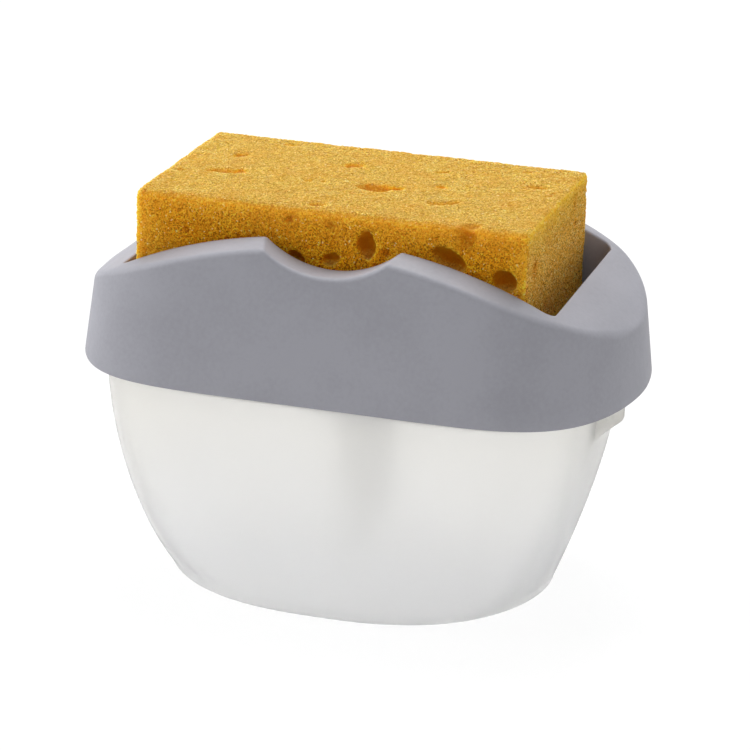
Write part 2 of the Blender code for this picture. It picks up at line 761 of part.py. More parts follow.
def guide_piece():
    hole = STEM_RADIUS + GAP
    profile = [(FLANGE_RADIUS - GAP, guide_top), (FLANGE_RADIUS - GAP, guide_bottom),
               (slider_radius, guide_bottom), (slider_radius, plug_bottom),
               (hole, plug_bottom), (hole, guide_top)]
    return pump_piece("stem_guide", profile, (0.86, 0.86, 0.84), 0.45)


def stem_piece():
    foot = piston_bottom + STEM_LEDGE
    profile = [(STEM_RADIUS, stem_top), (STEM_RADIUS, foot), (STEM_BORE, foot), (STEM_BORE, stem_top)]
    return pump_piece("pump_stem", profile, (0.88, 0.88, 0.86), 0.35, steps=20)


def piston_piece():
    socket = STEM_RADIUS + GAP
    shelf = piston_bottom + STEM_LEDGE - GAP
    groove = slider_radius - PISTON_GROOVE
    profile = [(slider_radius, piston_top), (slider_radius, piston_top - PISTON_LAND),
               (groove, piston_top - PISTON_LAND), (groove, piston_bottom + PISTON_LAND),
               (slider_radius, piston_bottom + PISTON_LAND), (slider_radius, piston_bottom),
               (STEM_BORE, piston_bottom), (STEM_BORE, shelf), (socket, shelf), (socket, piston_top)]
    return pump_piece("piston", profile, (0.84, 0.85, 0.86), 0.4, steps=20)


def piston_seal_piece():
    top_z = piston_top - PISTON_LAND - GAP
    low_z = piston_bottom + PISTON_LAND + GAP
    inner = slider_radius - PISTON_GROOVE + GAP
    outer = slider_radius + SEAL_PROUD
    waist = outer - GAP
    profile = [(outer, top_z), (waist, blend(top_z, low_z, 0.5)), (outer, low_z), (inner, low_z),
               (inner, top_z)]
    return pump_piece("piston_seal", profile, (0.15, 0.15, 0.16), 0.6, steps=20)


def cage_piece():
    inner = BALL_RADIUS + CAGE_PLAY
    outer = inner + CAGE_WALL
    flange = spring_radius + WIRE_RADIUS + SPRING_SEAT_PLAY
    crown = cage_ceiling + CAGE_WALL
    profile = [(outer, crown), (outer, cage_flange_top), (flange, cage_flange_top),
               (flange, cage_bottom), (inner, cage_bottom), (inner, cage_ceiling),
               (CAGE_HOLE, cage_ceiling), (CAGE_HOLE, crown)]
    return pump_piece("ball_cage", profile, (0.84, 0.85, 0.86), 0.4, steps=20)


def ball_piece():
    shape = bmesh.new()
    bmesh.ops.create_uvsphere(shape, u_segments=12, v_segments=8, radius=BALL_RADIUS)
    mesh = bpy.data.meshes.new("inlet_ball")
    shape.to_mesh(mesh)
    shape.free()
    smooth(mesh, 60)
    return place("inlet_ball", mesh, (0.70, 0.71, 0.72), 0.2, 1.0, location=(0, 0, ball_z))


def dip_tube_piece():
    high = socket_top - GAP
    low = TANK_WALL + DIP_FLOOR_GAP
    bore = DIP_RADIUS - DIP_WALL
    profile = [(DIP_RADIUS, high), (DIP_RADIUS, low), (bore, low), (bore, high)]
    return pump_piece("dip_tube", profile, (0.85, 0.86, 0.86), 0.4, steps=20)


def spring_piece():
    """A compression spring with closed end turns, as one tube along a helix."""
    per_turn = 10
    count = SPRING_TURNS * per_turn
    low = spring_bottom + WIRE_RADIUS
    high = spring_top - WIRE_RADIUS
    route = []
    for i in range(count + 1):
        share = i / count
        angle = 2 * math.pi * i / per_turn
        closing = SPRING_END_SHARE / SPRING_TURNS * math.sin(2 * math.pi * share)
        z = blend(low, high, share - closing)
        route.append(Vector((spring_radius * math.cos(angle), spring_radius * math.sin(angle), z)))
    least = min((route[i] - route[j]).length for i in range(count + 1)
                for j in range(i + per_turn - 3, count + 1)) - 2 * WIRE_RADIUS
    print("pump_spring: least gap between its turns %.2f mm" % (least * 1000))
    curve = bpy.data.curves.new("pump_spring", "CURVE")
    curve.dimensions = "3D"
    curve.bevel_depth = WIRE_RADIUS
    curve.bevel_resolution = 1
    curve.use_fill_caps = True
    spline = curve.splines.new("POLY")
    spline.points.add(count)
    for point, place_at in zip(spline.points, route):
        point.co = (*place_at, 1)
    holder = bpy.data.objects.new("pump_spring", curve)
    parts.objects.link(holder)
    mesh = curve_mesh(holder)
    smooth(mesh, 60)
    return place("pump_spring", mesh, (0.55, 0.56, 0.57), 0.3, 1.0)


# Press plate and its valve

def plate_piece():
    half_x = well_x - PLATE_PLAY
    half_y = well_y - PLATE_PLAY
    outline = rounded_rectangle(half_x, half_y, WELL_CORNER - PLATE_PLAY)
    plate = place("press_plate", flat_mesh("press_plate", [outline], PLATE_THICKNESS, plate_bottom),
                  (0.29, 0.29, 0.31), 0.5)
    pitch = (half_x - SLOT_LAST_MARGIN - SLOT_FIRST) / (SLOT_COLUMNS - 1)
    places = [SLOT_FIRST + i * pitch for i in range(SLOT_COLUMNS)]
    row_inner = SLOT_ROW_GAP / 2
    row_outer = half_y - SLOT_ROW_MARGIN
    row = (row_inner + row_outer) / 2
    holes = [circle(HUB_RADIUS - 3 * GAP)]
    for x in places:
        for side in (1, -1):
            for y in (row, -row):
                holes.append(slot(side * x, y, SLOT_WIDTH, row_outer - row_inner))
    holes_mesh = flat_mesh("plate_holes", holes, 2 * PLATE_THICKNESS,
                           plate_bottom - PLATE_THICKNESS / 2)
    combine(plate, guide_object("plate_holes", holes_mesh), "DIFFERENCE")
    overlap = PLATE_THICKNESS / 3
    ridges = [(side * (x + pitch / 2), 0, plate_top + (RIDGE_HEIGHT - overlap) / 2)
              for x in places[:-1] for side in (1, -1)]
    ridge_size = (RIDGE_WIDTH, 2 * (half_y - RIDGE_MARGIN), RIDGE_HEIGHT + overlap)
    combine(plate, guide_object("plate_ridges", box_mesh("plate_ridges", ridge_size, ridges)), "UNION")
    seat = VALVE_RADIUS + GAP
    bore = STEM_RADIUS + GAP
    shelf_top = shelf_bottom + HUB_SHELF
    proud = plate_top + HUB_PROUD
    profile = [(HUB_RADIUS, proud), (HUB_RADIUS, hub_bottom), (bore, hub_bottom),
               (bore, shelf_bottom), (STEM_BORE, shelf_bottom), (STEM_BORE, shelf_top),
               (seat, shelf_top), (seat, proud)]
    hub = guide_object("plate_hub", turned_mesh("plate_hub", profile))
    turn(hub)
    combine(plate, hub, "UNION")
    return plate


def valve_piece():
    base = shelf_bottom + HUB_SHELF + GAP
    flange = base + VALVE_FLANGE
    crown = plate_top + HUB_PROUD
    profile = [(VALVE_TIP, crown), (VALVE_DOME, blend(flange, crown, VALVE_SHOULDER)),
               (VALVE_DOME, flange), (VALVE_RADIUS, flange), (VALVE_RADIUS, base),
               (VALVE_HOLE, base), (VALVE_HOLE, crown)]
    return pump_piece("outlet_valve", profile, (0.80, 0.80, 0.80), 0.35, steps=20)


def retainer_piece():
    base = shelf_bottom + HUB_SHELF + VALVE_FLANGE + 2 * GAP
    crown = plate_top + HUB_PROUD
    profile = [(VALVE_RADIUS, crown), (VALVE_RADIUS, base), (RETAINER_BORE, base),
               (RETAINER_BORE, crown)]
    return pump_piece("valve_retainer", profile, (0.31, 0.31, 0.33), 0.45, steps=20)


# Sponge

sponge_left = SPONGE_LEFT_GAP - well_x
sponge_right = well_x - SPONGE_RIGHT_GAP
sponge_middle = (sponge_left + sponge_right) / 2
sponge_half_x = (sponge_right - sponge_left) / 2
sponge_half_y = well_y - SPONGE_SIDE_GAP


def pores_mesh():
    """Egg-shaped hollows along the front face and the top."""
    spots = []
    for along, depth, width, height in FRONT_PORES:
        spots.append(((sponge_middle + along * sponge_half_x, -sponge_half_y, sponge_top - depth),
                      (width / 2, width / 2, height / 2)))
    for along, across, length, width in TOP_PORES:
        spots.append(((sponge_middle + along * sponge_half_x, across * sponge_half_y, sponge_top),
                      (length / 2, width / 2, width / PORE_FLATNESS)))
    shape = bmesh.new()
    for centre, radii in spots:
        matrix = Matrix.Translation(centre) @ Matrix.Diagonal((*radii, 1))
        bmesh.ops.create_uvsphere(shape, u_segments=10, v_segments=6, radius=1, matrix=matrix)
    mesh = bpy.data.meshes.new("sponge_pores")
    shape.to_mesh(mesh)
    shape.free()
    return mesh


def sponge_piece():
    size = (2 * sponge_half_x, 2 * sponge_half_y, SPONGE_THICKNESS)
    centre = (sponge_middle, 0, (sponge_bottom + sponge_top) / 2)
    sponge = place("sponge", box_mesh("sponge", size, [centre]), (0.85, 0.58, 0.17), 0.9)
    edges = sponge.modifiers.new("edges", "BEVEL")
    edges.width = SPONGE_EDGE
    edges.segments = 2
    edges.limit_method = "ANGLE"
    combine(sponge, guide_object("sponge_pores", pores_mesh()), "DIFFERENCE")
    return sponge


tank_piece()
seal_piece()
lid_piece()
cover_piece()
cylinder_piece()
gasket_piece()
collar_piece()
guide_piece()
cage_piece()
ball_piece()
dip_tube_piece()
stem_piece()
piston_piece()
piston_seal_piece()
spring_piece()
plate_piece()
valve_piece()
retainer_piece()
sponge_piece()
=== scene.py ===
"""Looks of the soap dispenser with its sponge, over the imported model."""
import math

import bmesh
import bpy
from mathutils import Matrix, Vector, noise


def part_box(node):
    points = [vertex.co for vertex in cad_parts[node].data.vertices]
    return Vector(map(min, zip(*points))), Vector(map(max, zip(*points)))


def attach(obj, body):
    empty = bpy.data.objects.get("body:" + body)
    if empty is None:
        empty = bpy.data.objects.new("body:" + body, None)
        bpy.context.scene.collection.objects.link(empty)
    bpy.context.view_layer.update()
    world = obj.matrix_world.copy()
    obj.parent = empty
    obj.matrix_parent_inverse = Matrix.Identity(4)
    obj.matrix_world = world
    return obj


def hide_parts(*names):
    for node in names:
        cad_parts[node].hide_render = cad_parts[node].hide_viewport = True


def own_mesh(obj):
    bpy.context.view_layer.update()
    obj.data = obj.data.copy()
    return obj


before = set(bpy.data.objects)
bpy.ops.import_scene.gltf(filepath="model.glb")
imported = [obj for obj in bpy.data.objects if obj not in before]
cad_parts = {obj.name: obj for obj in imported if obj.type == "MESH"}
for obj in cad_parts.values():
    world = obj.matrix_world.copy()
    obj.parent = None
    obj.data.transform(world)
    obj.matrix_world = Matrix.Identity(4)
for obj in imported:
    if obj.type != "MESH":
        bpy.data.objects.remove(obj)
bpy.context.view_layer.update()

# Camera, from the photograph
AZIMUTH = math.radians(16.54)
ELEVATION = math.radians(19.37)
ROLL = math.radians(1.79)
DISTANCE = 0.8764
TARGET = Vector((0.00211, 0, 0.05498))
FOCAL_PIXELS = 3182.5
IMAGE_PIXELS = 750
SENSOR = 36.0


def srgb(r, g, b):
    """A colour as it is seen, 0 to 255, for a shader."""
    def linear(v):
        v /= 255
        return v / 12.92 if v <= 0.04045 else ((v + 0.055) / 1.055) ** 2.4
    return linear(r), linear(g), linear(b)


def add_object(name, data):
    made = bpy.data.objects.new(name, data)
    bpy.context.scene.collection.objects.link(made)
    return made


# Camera and lamps

def add_camera():
    back = Vector((math.sin(AZIMUTH) * math.cos(ELEVATION),
                   -math.cos(AZIMUTH) * math.cos(ELEVATION), math.sin(ELEVATION)))
    right = Vector((math.cos(AZIMUTH), math.sin(AZIMUTH), 0))
    up = back.cross(right)
    rolled_right = right * math.cos(ROLL) + up * math.sin(ROLL)
    rolled_up = up * math.cos(ROLL) - right * math.sin(ROLL)
    data = bpy.data.cameras.new("camera")
    data.sensor_fit = "HORIZONTAL"
    data.sensor_width = SENSOR
    data.lens = FOCAL_PIXELS * SENSOR / IMAGE_PIXELS
    data.clip_start = 0.01
    camera = add_object("camera", data)
    rotation = Matrix((rolled_right, rolled_up, back)).transposed().to_4x4()
    camera.matrix_world = Matrix.Translation(TARGET + back * DISTANCE) @ rotation
    bpy.context.scene.camera = camera


def add_area(name, place, aim, width, height, power):
    data = bpy.data.lights.new(name, "AREA")
    data.shape = "RECTANGLE"
    data.size = width
    data.size_y = height
    data.energy = power
    lamp = add_object(name, data)
    lamp.location = place
    lamp.rotation_euler = (Vector(aim) - Vector(place)).to_track_quat("-Z", "Y").to_euler()


# Shader nodes

def put(tree, node, values):
    """Gives a node's sockets numbers or colours, or links them to other nodes' outputs."""
    for key, value in values.items():
        socket = node.inputs[key]
        if isinstance(value, bpy.types.NodeSocket):
            tree.links.new(value, socket)
        elif socket.type == "RGBA":
            socket.default_value = (*value, 1)
        else:
            socket.default_value = value


def add_node(tree, kind, values):
    made = tree.nodes.new("ShaderNode" + kind)
    put(tree, made, values)
    return made


def math_node(tree, operation, *values):
    made = tree.nodes.new("ShaderNodeMath")
    made.operation = operation
    put(tree, made, dict(enumerate(values)))
    return made.outputs[0]


def map_value(tree, value, low, high, new_low, new_high):
    made = add_node(tree, "MapRange", {"Value": value, "From Min": low, "From Max": high,
                                       "To Min": new_low, "To Max": new_high})
    return made.outputs["Result"]


def mix_colours(tree, share, first, second):
    made = tree.nodes.new("ShaderNodeMix")
    made.data_type = "RGBA"
    put(tree, made, {"Factor": share, "A": first, "B": second})
    return made.outputs["Result"]


def ramp(tree, value, stops):
    """A colour ramp through (position, colour) stops."""
    made = tree.nodes.new("ShaderNodeValToRGB")
    line = made.color_ramp
    while len(line.elements) > 1:
        line.elements.remove(line.elements[-1])
    line.elements[0].position = stops[0][0]
    line.elements[0].color = (*stops[0][1], 1)
    for position, colour in stops[1:]:
        stop = line.elements.new(position)
        stop.color = (*colour, 1)
    put(tree, made, {"Fac": value})
    return made.outputs["Color"]


def axis_of(tree, place, axis):
    """One coordinate, 0 to 2, of a kind of place."""
    source = tree.nodes.new("ShaderNodeTexCoord")
    return add_node(tree, "SeparateXYZ", {0: source.outputs[place]}).outputs[axis]


def coordinates(tree, scale):
    """Positions on the piece in millimetres, times a scale."""
    place = tree.nodes.new("ShaderNodeTexCoord")
    sized = tree.nodes.new("ShaderNodeVectorMath")
    sized.operation = "SCALE"
    put(tree, sized, {0: place.outputs["Object"], "Scale": 1000.0 * scale})
    return sized.outputs["Vector"]


def noise_of(tree, scale, detail=3.0, rough=0.5):
    """Noise with a number of waves per millimetre."""
    made = add_node(tree, "TexNoise", {"Scale": 1.0, "Detail": detail, "Roughness": rough,
                                       "Vector": coordinates(tree, scale)})
    return made.outputs["Fac"]


def bump(tree, height, strength, depth):
    made = add_node(tree, "Bump", {"Strength": strength, "Distance": depth, "Height": height})
    return made.outputs["Normal"]


def stored(tree, name):
    """A value that the mesh stores at its points."""
    made = tree.nodes.new("ShaderNodeAttribute")
    made.attribute_name = name
    return made.outputs["Fac"]


def seen_ray(tree):
    """1 for a ray from the camera, a mirror or through glass, else 0."""
    path = tree.nodes.new("ShaderNodeLightPath")
    straight = math_node(tree, "MAXIMUM", path.outputs["Is Camera Ray"],
                         path.outputs["Is Glossy Ray"])
    return math_node(tree, "MAXIMUM", straight, path.outputs["Is Transmission Ray"])


# World, floor and lamps
WORLD_FILL = 0.50
WORLD_SLANT = 0.2             # share by which the left gives more and the right less
FLOOR_SIZE = 8
FLOOR_DROP = 0.0001           # under the object, so that the two don't share a plane
FLOOR_BOUNCE = 0.80           # as the object sees it
FLOOR_PAINT = 0.11            # as the camera sees it, for the shadow
FLOOR_GLOW = 0.92
# name, place, what it points at, width, height, watts
LAMPS = (
    ("top", (-0.10, 0.42, 1.05), (0, 0, 0.06), 0.6, 0.6, 8.2),
    ("left", (-1.10, -0.20, 0.50), (0, 0, 0.06), 0.8, 0.8, 6.2),
    ("right", (1.10, -0.20, 0.50), (0, 0, 0.06), 0.8, 0.8, 0.8),
)


def add_world():
    """A world that looks white and lights the object softly, a little more from the left."""
    world = bpy.data.worlds.new("studio")
    bpy.context.scene.world = world
    world.use_nodes = True
    tree = world.node_tree
    fill = map_value(tree, axis_of(tree, "Generated", 0), -1, 1,
                     WORLD_FILL * (1 + WORLD_SLANT), WORLD_FILL * (1 - WORLD_SLANT))
    put(tree, tree.nodes["Background"], {
        "Color": (1, 1, 1), "Strength": map_value(tree, seen_ray(tree), 0, 1, fill, 1.0)})


def add_floor():
    """A pale floor that bounces light, looks white and keeps a faint shadow."""
    bpy.ops.mesh.primitive_plane_add(size=FLOOR_SIZE, location=(0, 0, -FLOOR_DROP))
    floor = bpy.context.object
    floor.name = "floor"
    made = bpy.data.materials.new("floor")
    made.use_nodes = True
    tree = made.node_tree
    tree.nodes.clear()
    bounce = add_node(tree, "BsdfDiffuse", {"Color": (FLOOR_BOUNCE,) * 3})
    paint = add_node(tree, "BsdfDiffuse", {"Color": (FLOOR_PAINT,) * 3})
    glow = add_node(tree, "Emission", {"Color": (1, 1, 1), "Strength": FLOOR_GLOW})
    both = add_node(tree, "AddShader", {0: paint.outputs[0], 1: glow.outputs[0]})
    choice = add_node(tree, "MixShader", {"Fac": seen_ray(tree), 1: bounce.outputs[0],
                                          2: both.outputs[0]})
    add_node(tree, "OutputMaterial", {"Surface": choice.outputs[0]})
    floor.data.materials.append(made)


bpy.context.scene.view_settings.view_transform = "Standard"
add_camera()
add_world()
for lamp in LAMPS:
    add_area(*lamp)
add_floor()


# Materials; noise scales are in waves per millimetre
CLOUD_SCALE = 0.055
MOTTLE_SCALE = 0.9
MOTTLE_SHARE = 0.7
GLOSS_SCALE = 0.35
GRAIN_SCALE = 2.6
GLOSS_SPREAD = 0.05           # of the roughness
COLOUR_SPREAD = 0.05          # of the colour, lighter and darker
PLASTIC_SHINE = 0.35


def new_material(name):
    made = bpy.data.materials.new(name)
    made.use_nodes = True
    return made, made.node_tree, made.node_tree.nodes["Principled BSDF"]


def moulded(tree, shader, low, high, grain):
    """Uneven gloss between two roughnesses, and a fine grain of a depth in metres."""
    gloss = noise_of(tree, GLOSS_SCALE, 4.0)
    fine = noise_of(tree, GRAIN_SCALE, 2.0)
    put(tree, shader, {"Roughness": map_value(tree, gloss, 0.3, 0.7, low, high),
                       "Normal": bump(tree, fine, 0.5, grain)})


def plastic(name, colour, roughness, shine=PLASTIC_SHINE):
    """Moulded plastic: faint colour clouds, uneven gloss and a fine grain."""
    made, tree, shader = new_material(name)
    slow = noise_of(tree, CLOUD_SCALE, 2.0)
    quick = noise_of(tree, MOTTLE_SCALE, 2.0)
    cloud = math_node(tree, "MULTIPLY_ADD", quick, MOTTLE_SHARE, slow)
    low = [c * (1 - COLOUR_SPREAD) for c in colour]
    high = [min(1.0, c * (1 + COLOUR_SPREAD)) for c in colour]
    put(tree, shader, {"Base Color": ramp(tree, cloud, [(0.55, low), (1.15, high)]),
                       "Specular IOR Level": shine})
    moulded(tree, shader, roughness - GLOSS_SPREAD, roughness + GLOSS_SPREAD, 0.00002)
    return made


def milky_material():
    """Frosted polypropylene that lets light in and shows the pump as a soft shade."""
    made, tree, shader = new_material("milky_plastic")
    height = map_value(tree, axis_of(tree, "Object", 2), 0.015, 0.060, 0.0, 1.0)
    cloud = math_node(tree, "MULTIPLY_ADD", noise_of(tree, 0.06, 3.0), 0.25, height)
    stops = [(0.1, srgb(250, 250, 250)), (1.1, srgb(251, 250, 247))]
    put(tree, shader, {"Base Color": ramp(tree, cloud, stops), "IOR": 1.13,
                       "Specular IOR Level": PLASTIC_SHINE, "Transmission Weight": 0.78})
    moulded(tree, shader, 0.56, 0.64, 0.00001)
    return made


def steel_material():
    made, tree, shader = new_material("spring_steel")
    worn = noise_of(tree, 0.9, 4.0)
    stops = [(0.3, srgb(172, 172, 174)), (0.7, srgb(205, 205, 207))]
    put(tree, shader, {"Base Color": ramp(tree, worn, stops), "Metallic": 1.0,
                       "Roughness": map_value(tree, worn, 0.3, 0.7, 0.22, 0.38)})
    return made


cover_grey = plastic("cover_grey", srgb(160, 160, 168), 0.58)
plate_grey = plastic("plate_grey", srgb(150, 150, 157), 0.58)
lid_plastic = plastic("lid_plastic", srgb(205, 206, 210), 0.5)
pump_plastic = plastic("pump_plastic", srgb(240, 240, 240), 0.4, shine=0.5)
seal_rubber = plastic("seal_rubber", srgb(168, 168, 171), 0.7)
valve_silicone = plastic("valve_silicone", srgb(228, 228, 228), 0.4, shine=0.5)
milky = milky_material()
steel = steel_material()

# The sides' colour is the foam's own; the ends' paler tone, the glow under the edges and the pale
# top are painted light, the pores' deeper tones painted shade, and the glint colour painted
# highlights
FOAM_SIDE = srgb(243, 156, 20)
FOAM_RIM_GLOW = srgb(255, 198, 58)
FOAM_END_LIT = srgb(234, 162, 58)
FOAM_TOP_SHEEN = srgb(190, 151, 63)
FOAM_TONE_AND_SHADE = srgb(196, 116, 10)
FOAM_PORE_SHADE = srgb(208, 128, 14)
FOAM_TOP_PORE_SHADE = srgb(214, 142, 36)
# painted glints: a pale colour put on a few of the foam's cells
FOAM_GLINT = srgb(255, 232, 156)
GLINT_SCALE = 2.7
GLINT_LIMIT = 0.984           # cells above it glint
FOAM_GRAIN_SCALE = 2.1
PATCH_SCALE = 0.13
# Grain of a colour: place on the ramp, brightness, change of hue; on the sides its darkest stops
# are partly painted shade between the threads and its lightest are painted glints
DEEP_GRAIN = ((0.0, 0.16, (1, 0.7, 0.5)), (0.35, 0.72, (1, 0.92, 0.75)),
              (0.65, 1.22, (1, 1.03, 1.1)), (1.0, 2.20, (1, 1.12, 4.0)))
RIM_GRAIN = ((0.0, 0.70, (1, 0.85, 0.6)), (0.45, 0.97, (1, 0.98, 1)),
             (1.0, 1.30, (1, 1.06, 2.2)))
TOP_GRAIN = ((0.0, 0.50, (1, 0.84, 0.5)), (0.45, 0.96, (1, 0.99, 1)),
             (1.0, 1.62, (1, 1.05, 1.7)))


def grained(tree, grain, colour, steps):
    """A colour, darker and lighter with the grain."""
    stops = [(place, [min(1.0, c * share * tint) for c, tint in zip(colour, hue)])
             for place, share, hue in steps]
    return ramp(tree, grain, stops)


def foam_material():
    """Open-celled foam, even on top, deeper and grainier on its sides; painted light gives a pale
    sheen on top, a glow under the edges, a paler tone on the ends and glints, and painted shade
    darkens its pores and dents.
    """
    made, tree, shader = new_material("sponge_foam")
    cells = add_node(tree, "TexVoronoi", {"Scale": 1.0, "Vector": coordinates(tree, GLINT_SCALE)})
    apart = add_node(tree, "SeparateColor", {0: cells.outputs["Color"]})
    fine = noise_of(tree, FOAM_GRAIN_SCALE, 3.0, 0.7)
    rough = math_node(tree, "MULTIPLY_ADD", apart.outputs[1], 0.30, fine)
    grain = map_value(tree, rough, 0.40, 0.92, 0.0, 1.0)
    colour = grained(tree, grain, FOAM_SIDE, DEEP_GRAIN)
    # painted light over the sides' own colour: the ends' paler tone, the glow under the edges and
    # the sheen on top
    for name, shade, steps in (("end", FOAM_END_LIT, DEEP_GRAIN), ("rim", FOAM_RIM_GLOW, RIM_GRAIN),
                               ("top", FOAM_TOP_SHEEN, TOP_GRAIN)):
        colour = mix_colours(tree, stored(tree, name), colour, grained(tree, grain, shade, steps))
    slow = map_value(tree, noise_of(tree, PATCH_SCALE, 3.0), 0.35, 0.7, 0.0, 0.25)
    # random patches of uneven tone, and spots of painted shade at dents and pores
    tone_and_shade = math_node(tree, "MAXIMUM", slow, stored(tree, "shade_and_tone_spot"))
    colour = mix_colours(tree, tone_and_shade, colour, FOAM_TONE_AND_SHADE)
    # painted shade in the pores, deeper with their depth
    pore = mix_colours(tree, stored(tree, "top_pore"), FOAM_PORE_SHADE, FOAM_TOP_PORE_SHADE)
    colour = mix_colours(tree, stored(tree, "pore_shade"), colour, pore)
    # painted glints: a few cells take a pale colour, and less roughness
    glint = math_node(tree, "GREATER_THAN", apart.outputs[0], GLINT_LIMIT)
    shown = math_node(tree, "MULTIPLY", glint, stored(tree, "spark"))
    put(tree, shader, {
        "Base Color": mix_colours(tree, shown, colour, FOAM_GLINT),
        "Roughness": map_value(tree, glint, 0, 1, 0.75, 0.4), "Specular IOR Level": 0.04,
        "Subsurface Weight": 1.0, "Subsurface Radius": (1.0, 0.7, 0.25),
        "Subsurface Scale": 0.0045, "Normal": bump(tree, rough, 0.8, 0.0003)})
    return made


foam = foam_material()


# Meshes

def finish_piece(name, mesh, material, body, slot, nodes=(), angle=40):
    """Colour, shade and place a piece, and hide the plain nodes that it stands for."""
    piece = add_object(name, mesh)
    mesh.materials.clear()
    mesh.materials.append(material)
    mesh.shade_smooth()
    mesh.set_sharp_from_angle(angle=math.radians(angle))
    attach(piece, body)
    if nodes:
        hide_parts(*nodes)
    return piece


def new_mesh(name, points, faces):
    mesh = bpy.data.meshes.new(name)
    mesh.from_pydata([tuple(p) for p in points], [], faces)
    mesh.update()
    return mesh


def mesh_piece(name, points, faces, *rest):
    return finish_piece(name, new_mesh(name, points, faces), *rest)


def mesh_from(shape, name):
    """A mesh from a shape under construction."""
    mesh = bpy.data.meshes.new(name)
    shape.to_mesh(mesh)
    shape.free()
    return mesh


def welded(mesh, distance, outward=False):
    """The mesh with points that lie close together joined, and its faces turned outwards."""
    shape = bmesh.new()
    shape.from_mesh(mesh)
    if distance:
        bmesh.ops.remove_doubles(shape, verts=shape.verts, dist=distance)
    if outward:
        bmesh.ops.recalc_face_normals(shape, faces=shape.faces)
    shape.to_mesh(mesh)
    shape.free()
    return mesh


def settled(piece, *cutters):
    """The piece's mesh with its modifiers worked in; the piece and its cutters go."""
    bpy.context.view_layer.update()
    seen = piece.evaluated_get(bpy.context.evaluated_depsgraph_get())
    mesh = bpy.data.meshes.new_from_object(seen)
    for used in (piece, *cutters):
        bpy.data.objects.remove(used, do_unlink=True)
    return mesh


def cut_out(piece, cutter):
    cut = piece.modifiers.new("cut", "BOOLEAN")
    cut.operation = "DIFFERENCE"
    cut.solver = "EXACT"
    cut.object = cutter
    return cut


def ring_faces(rings, count, flip=False):
    """Quads between closed outlines, the last joined to the first."""
    faces = []
    for k in range(rings):
        here = k * count
        ahead = (k + 1) % rings * count
        for i in range(count):
            j = (i + 1) % count
            if flip:
                faces.append((here + i, ahead + i, ahead + j, here + j))
            else:
                faces.append((here + i, here + j, ahead + j, ahead + i))
    return faces


def ring_cap(ring, count, flip=False):
    """A face that closes an outline."""
    face = tuple(ring * count + i for i in range(count))
    return face[::-1] if flip else face


def loft(name, rings, *rest):
    """A piece through closed outlines, the last joined to the first."""
    points = [p for ring in rings for p in ring]
    return mesh_piece(name, points, ring_faces(len(rings), len(rings[0])), *rest)


def blend(a, b, share):
    return a + (b - a) * share


def bisect(rising, low, high, rounds=48):
    for _ in range(rounds):
        middle = (low + high) / 2
        if rising(middle) > 0:
            high = middle
        else:
            low = middle
    return (low + high) / 2


def arc(radius, steps):
    """A quarter circle in from one edge and down from the other, as (inset, drop)."""
    angles = [math.pi / 2 * i / steps for i in range(steps + 1)]
    return [(radius * (1 - math.cos(a)), radius * (1 - math.sin(a))) for a in angles]


def oval_reach(angle, powers):
    """How far an oval of half widths 1 reaches at an angle."""
    c = abs(math.cos(angle))
    s = abs(math.sin(angle))
    return bisect(lambda k: (k * c) ** powers[0] + (k * s) ** powers[1] - 1, 0.5, 2.0)


def oval(half_x, half_y, powers, count):
    """A rounded rectangle whose sides are slightly bowed everywhere."""
    points = []
    for i in range(count):
        angle = 2 * math.pi * i / count
        reach = oval_reach(angle, powers)
        points.append((half_x * reach * math.cos(angle), half_y * reach * math.sin(angle)))
    return points


# Sizes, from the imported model
cover_low, cover_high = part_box("cover")
tank_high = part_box("tank")[1]
plate_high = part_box("press_plate")[1]
sponge_low, sponge_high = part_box("sponge")
seal_low, seal_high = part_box("lid_seal")
GAP = 0.0003                  # between pieces that bear on each other
WELL_GAP = 0.0005             # between plate and well
COVER_WALL = 0.0020
TANK_WALL = 0.0020
LID_THICKNESS = 0.0020
WELL_CORNER = 0.0030
CLIP_X = 0.0350
CLIP_RISE = 0.0031            # of the clips' middle over the lid
CLIP_WIDTH = 0.0080
CLIP_HEIGHT = 0.0018
CLIP_PLAY = 0.0004
skirt_x = cover_high.x
skirt_y = cover_high.y
skirt_bottom = cover_low.z
well_x = plate_high.x + WELL_GAP
well_y = plate_high.y + WELL_GAP
rim_x = seal_high.x + GAP
rim_y = seal_high.y + GAP
tank_height = tank_high.z
lid_bottom = seal_high.z + GAP
lid_top = lid_bottom + LID_THICKNESS
clip_z = lid_top + CLIP_RISE

# Cover's wave, notch and outline, as in the solids
PEAK_HEIGHT = 0.0426          # over the skirt's foot
LEDGE_HEIGHT = 0.0191
LEDGE_WIDTH = 0.0020
ARC_END = 0.0058              # from the ledge, where the arc turns into it
ARC_DROP = 0.0200
LAND_SLOPE = 0.20             # outwards beside the well
LAND_EASE = 0.0030
NOTCH_RADIUS = 0.0280
NOTCH_DEPTH = 0.0083
NOTCH_RISE = 0.04             # of its floor outwards, per width
CREASE_RADIUS = 0.0014
RIM_RADIUS = 0.0008
FOOT_EDGE = 0.0004            # rounding of the skirt's foot
DRAFT = 0.12
SKIRT_POWERS = (6.3, 1.8)
CUSP_BLEND = 0.0006
peak_z = skirt_bottom + PEAK_HEIGHT
ledge_z = skirt_bottom + LEDGE_HEIGHT
ledge_x = skirt_x - LEDGE_WIDTH
arc_x = ledge_x - ARC_END
arc_radius = (arc_x ** 2 + ARC_DROP ** 2) / (2 * ARC_DROP)
notch_centre_z = peak_z - NOTCH_DEPTH + NOTCH_RADIUS


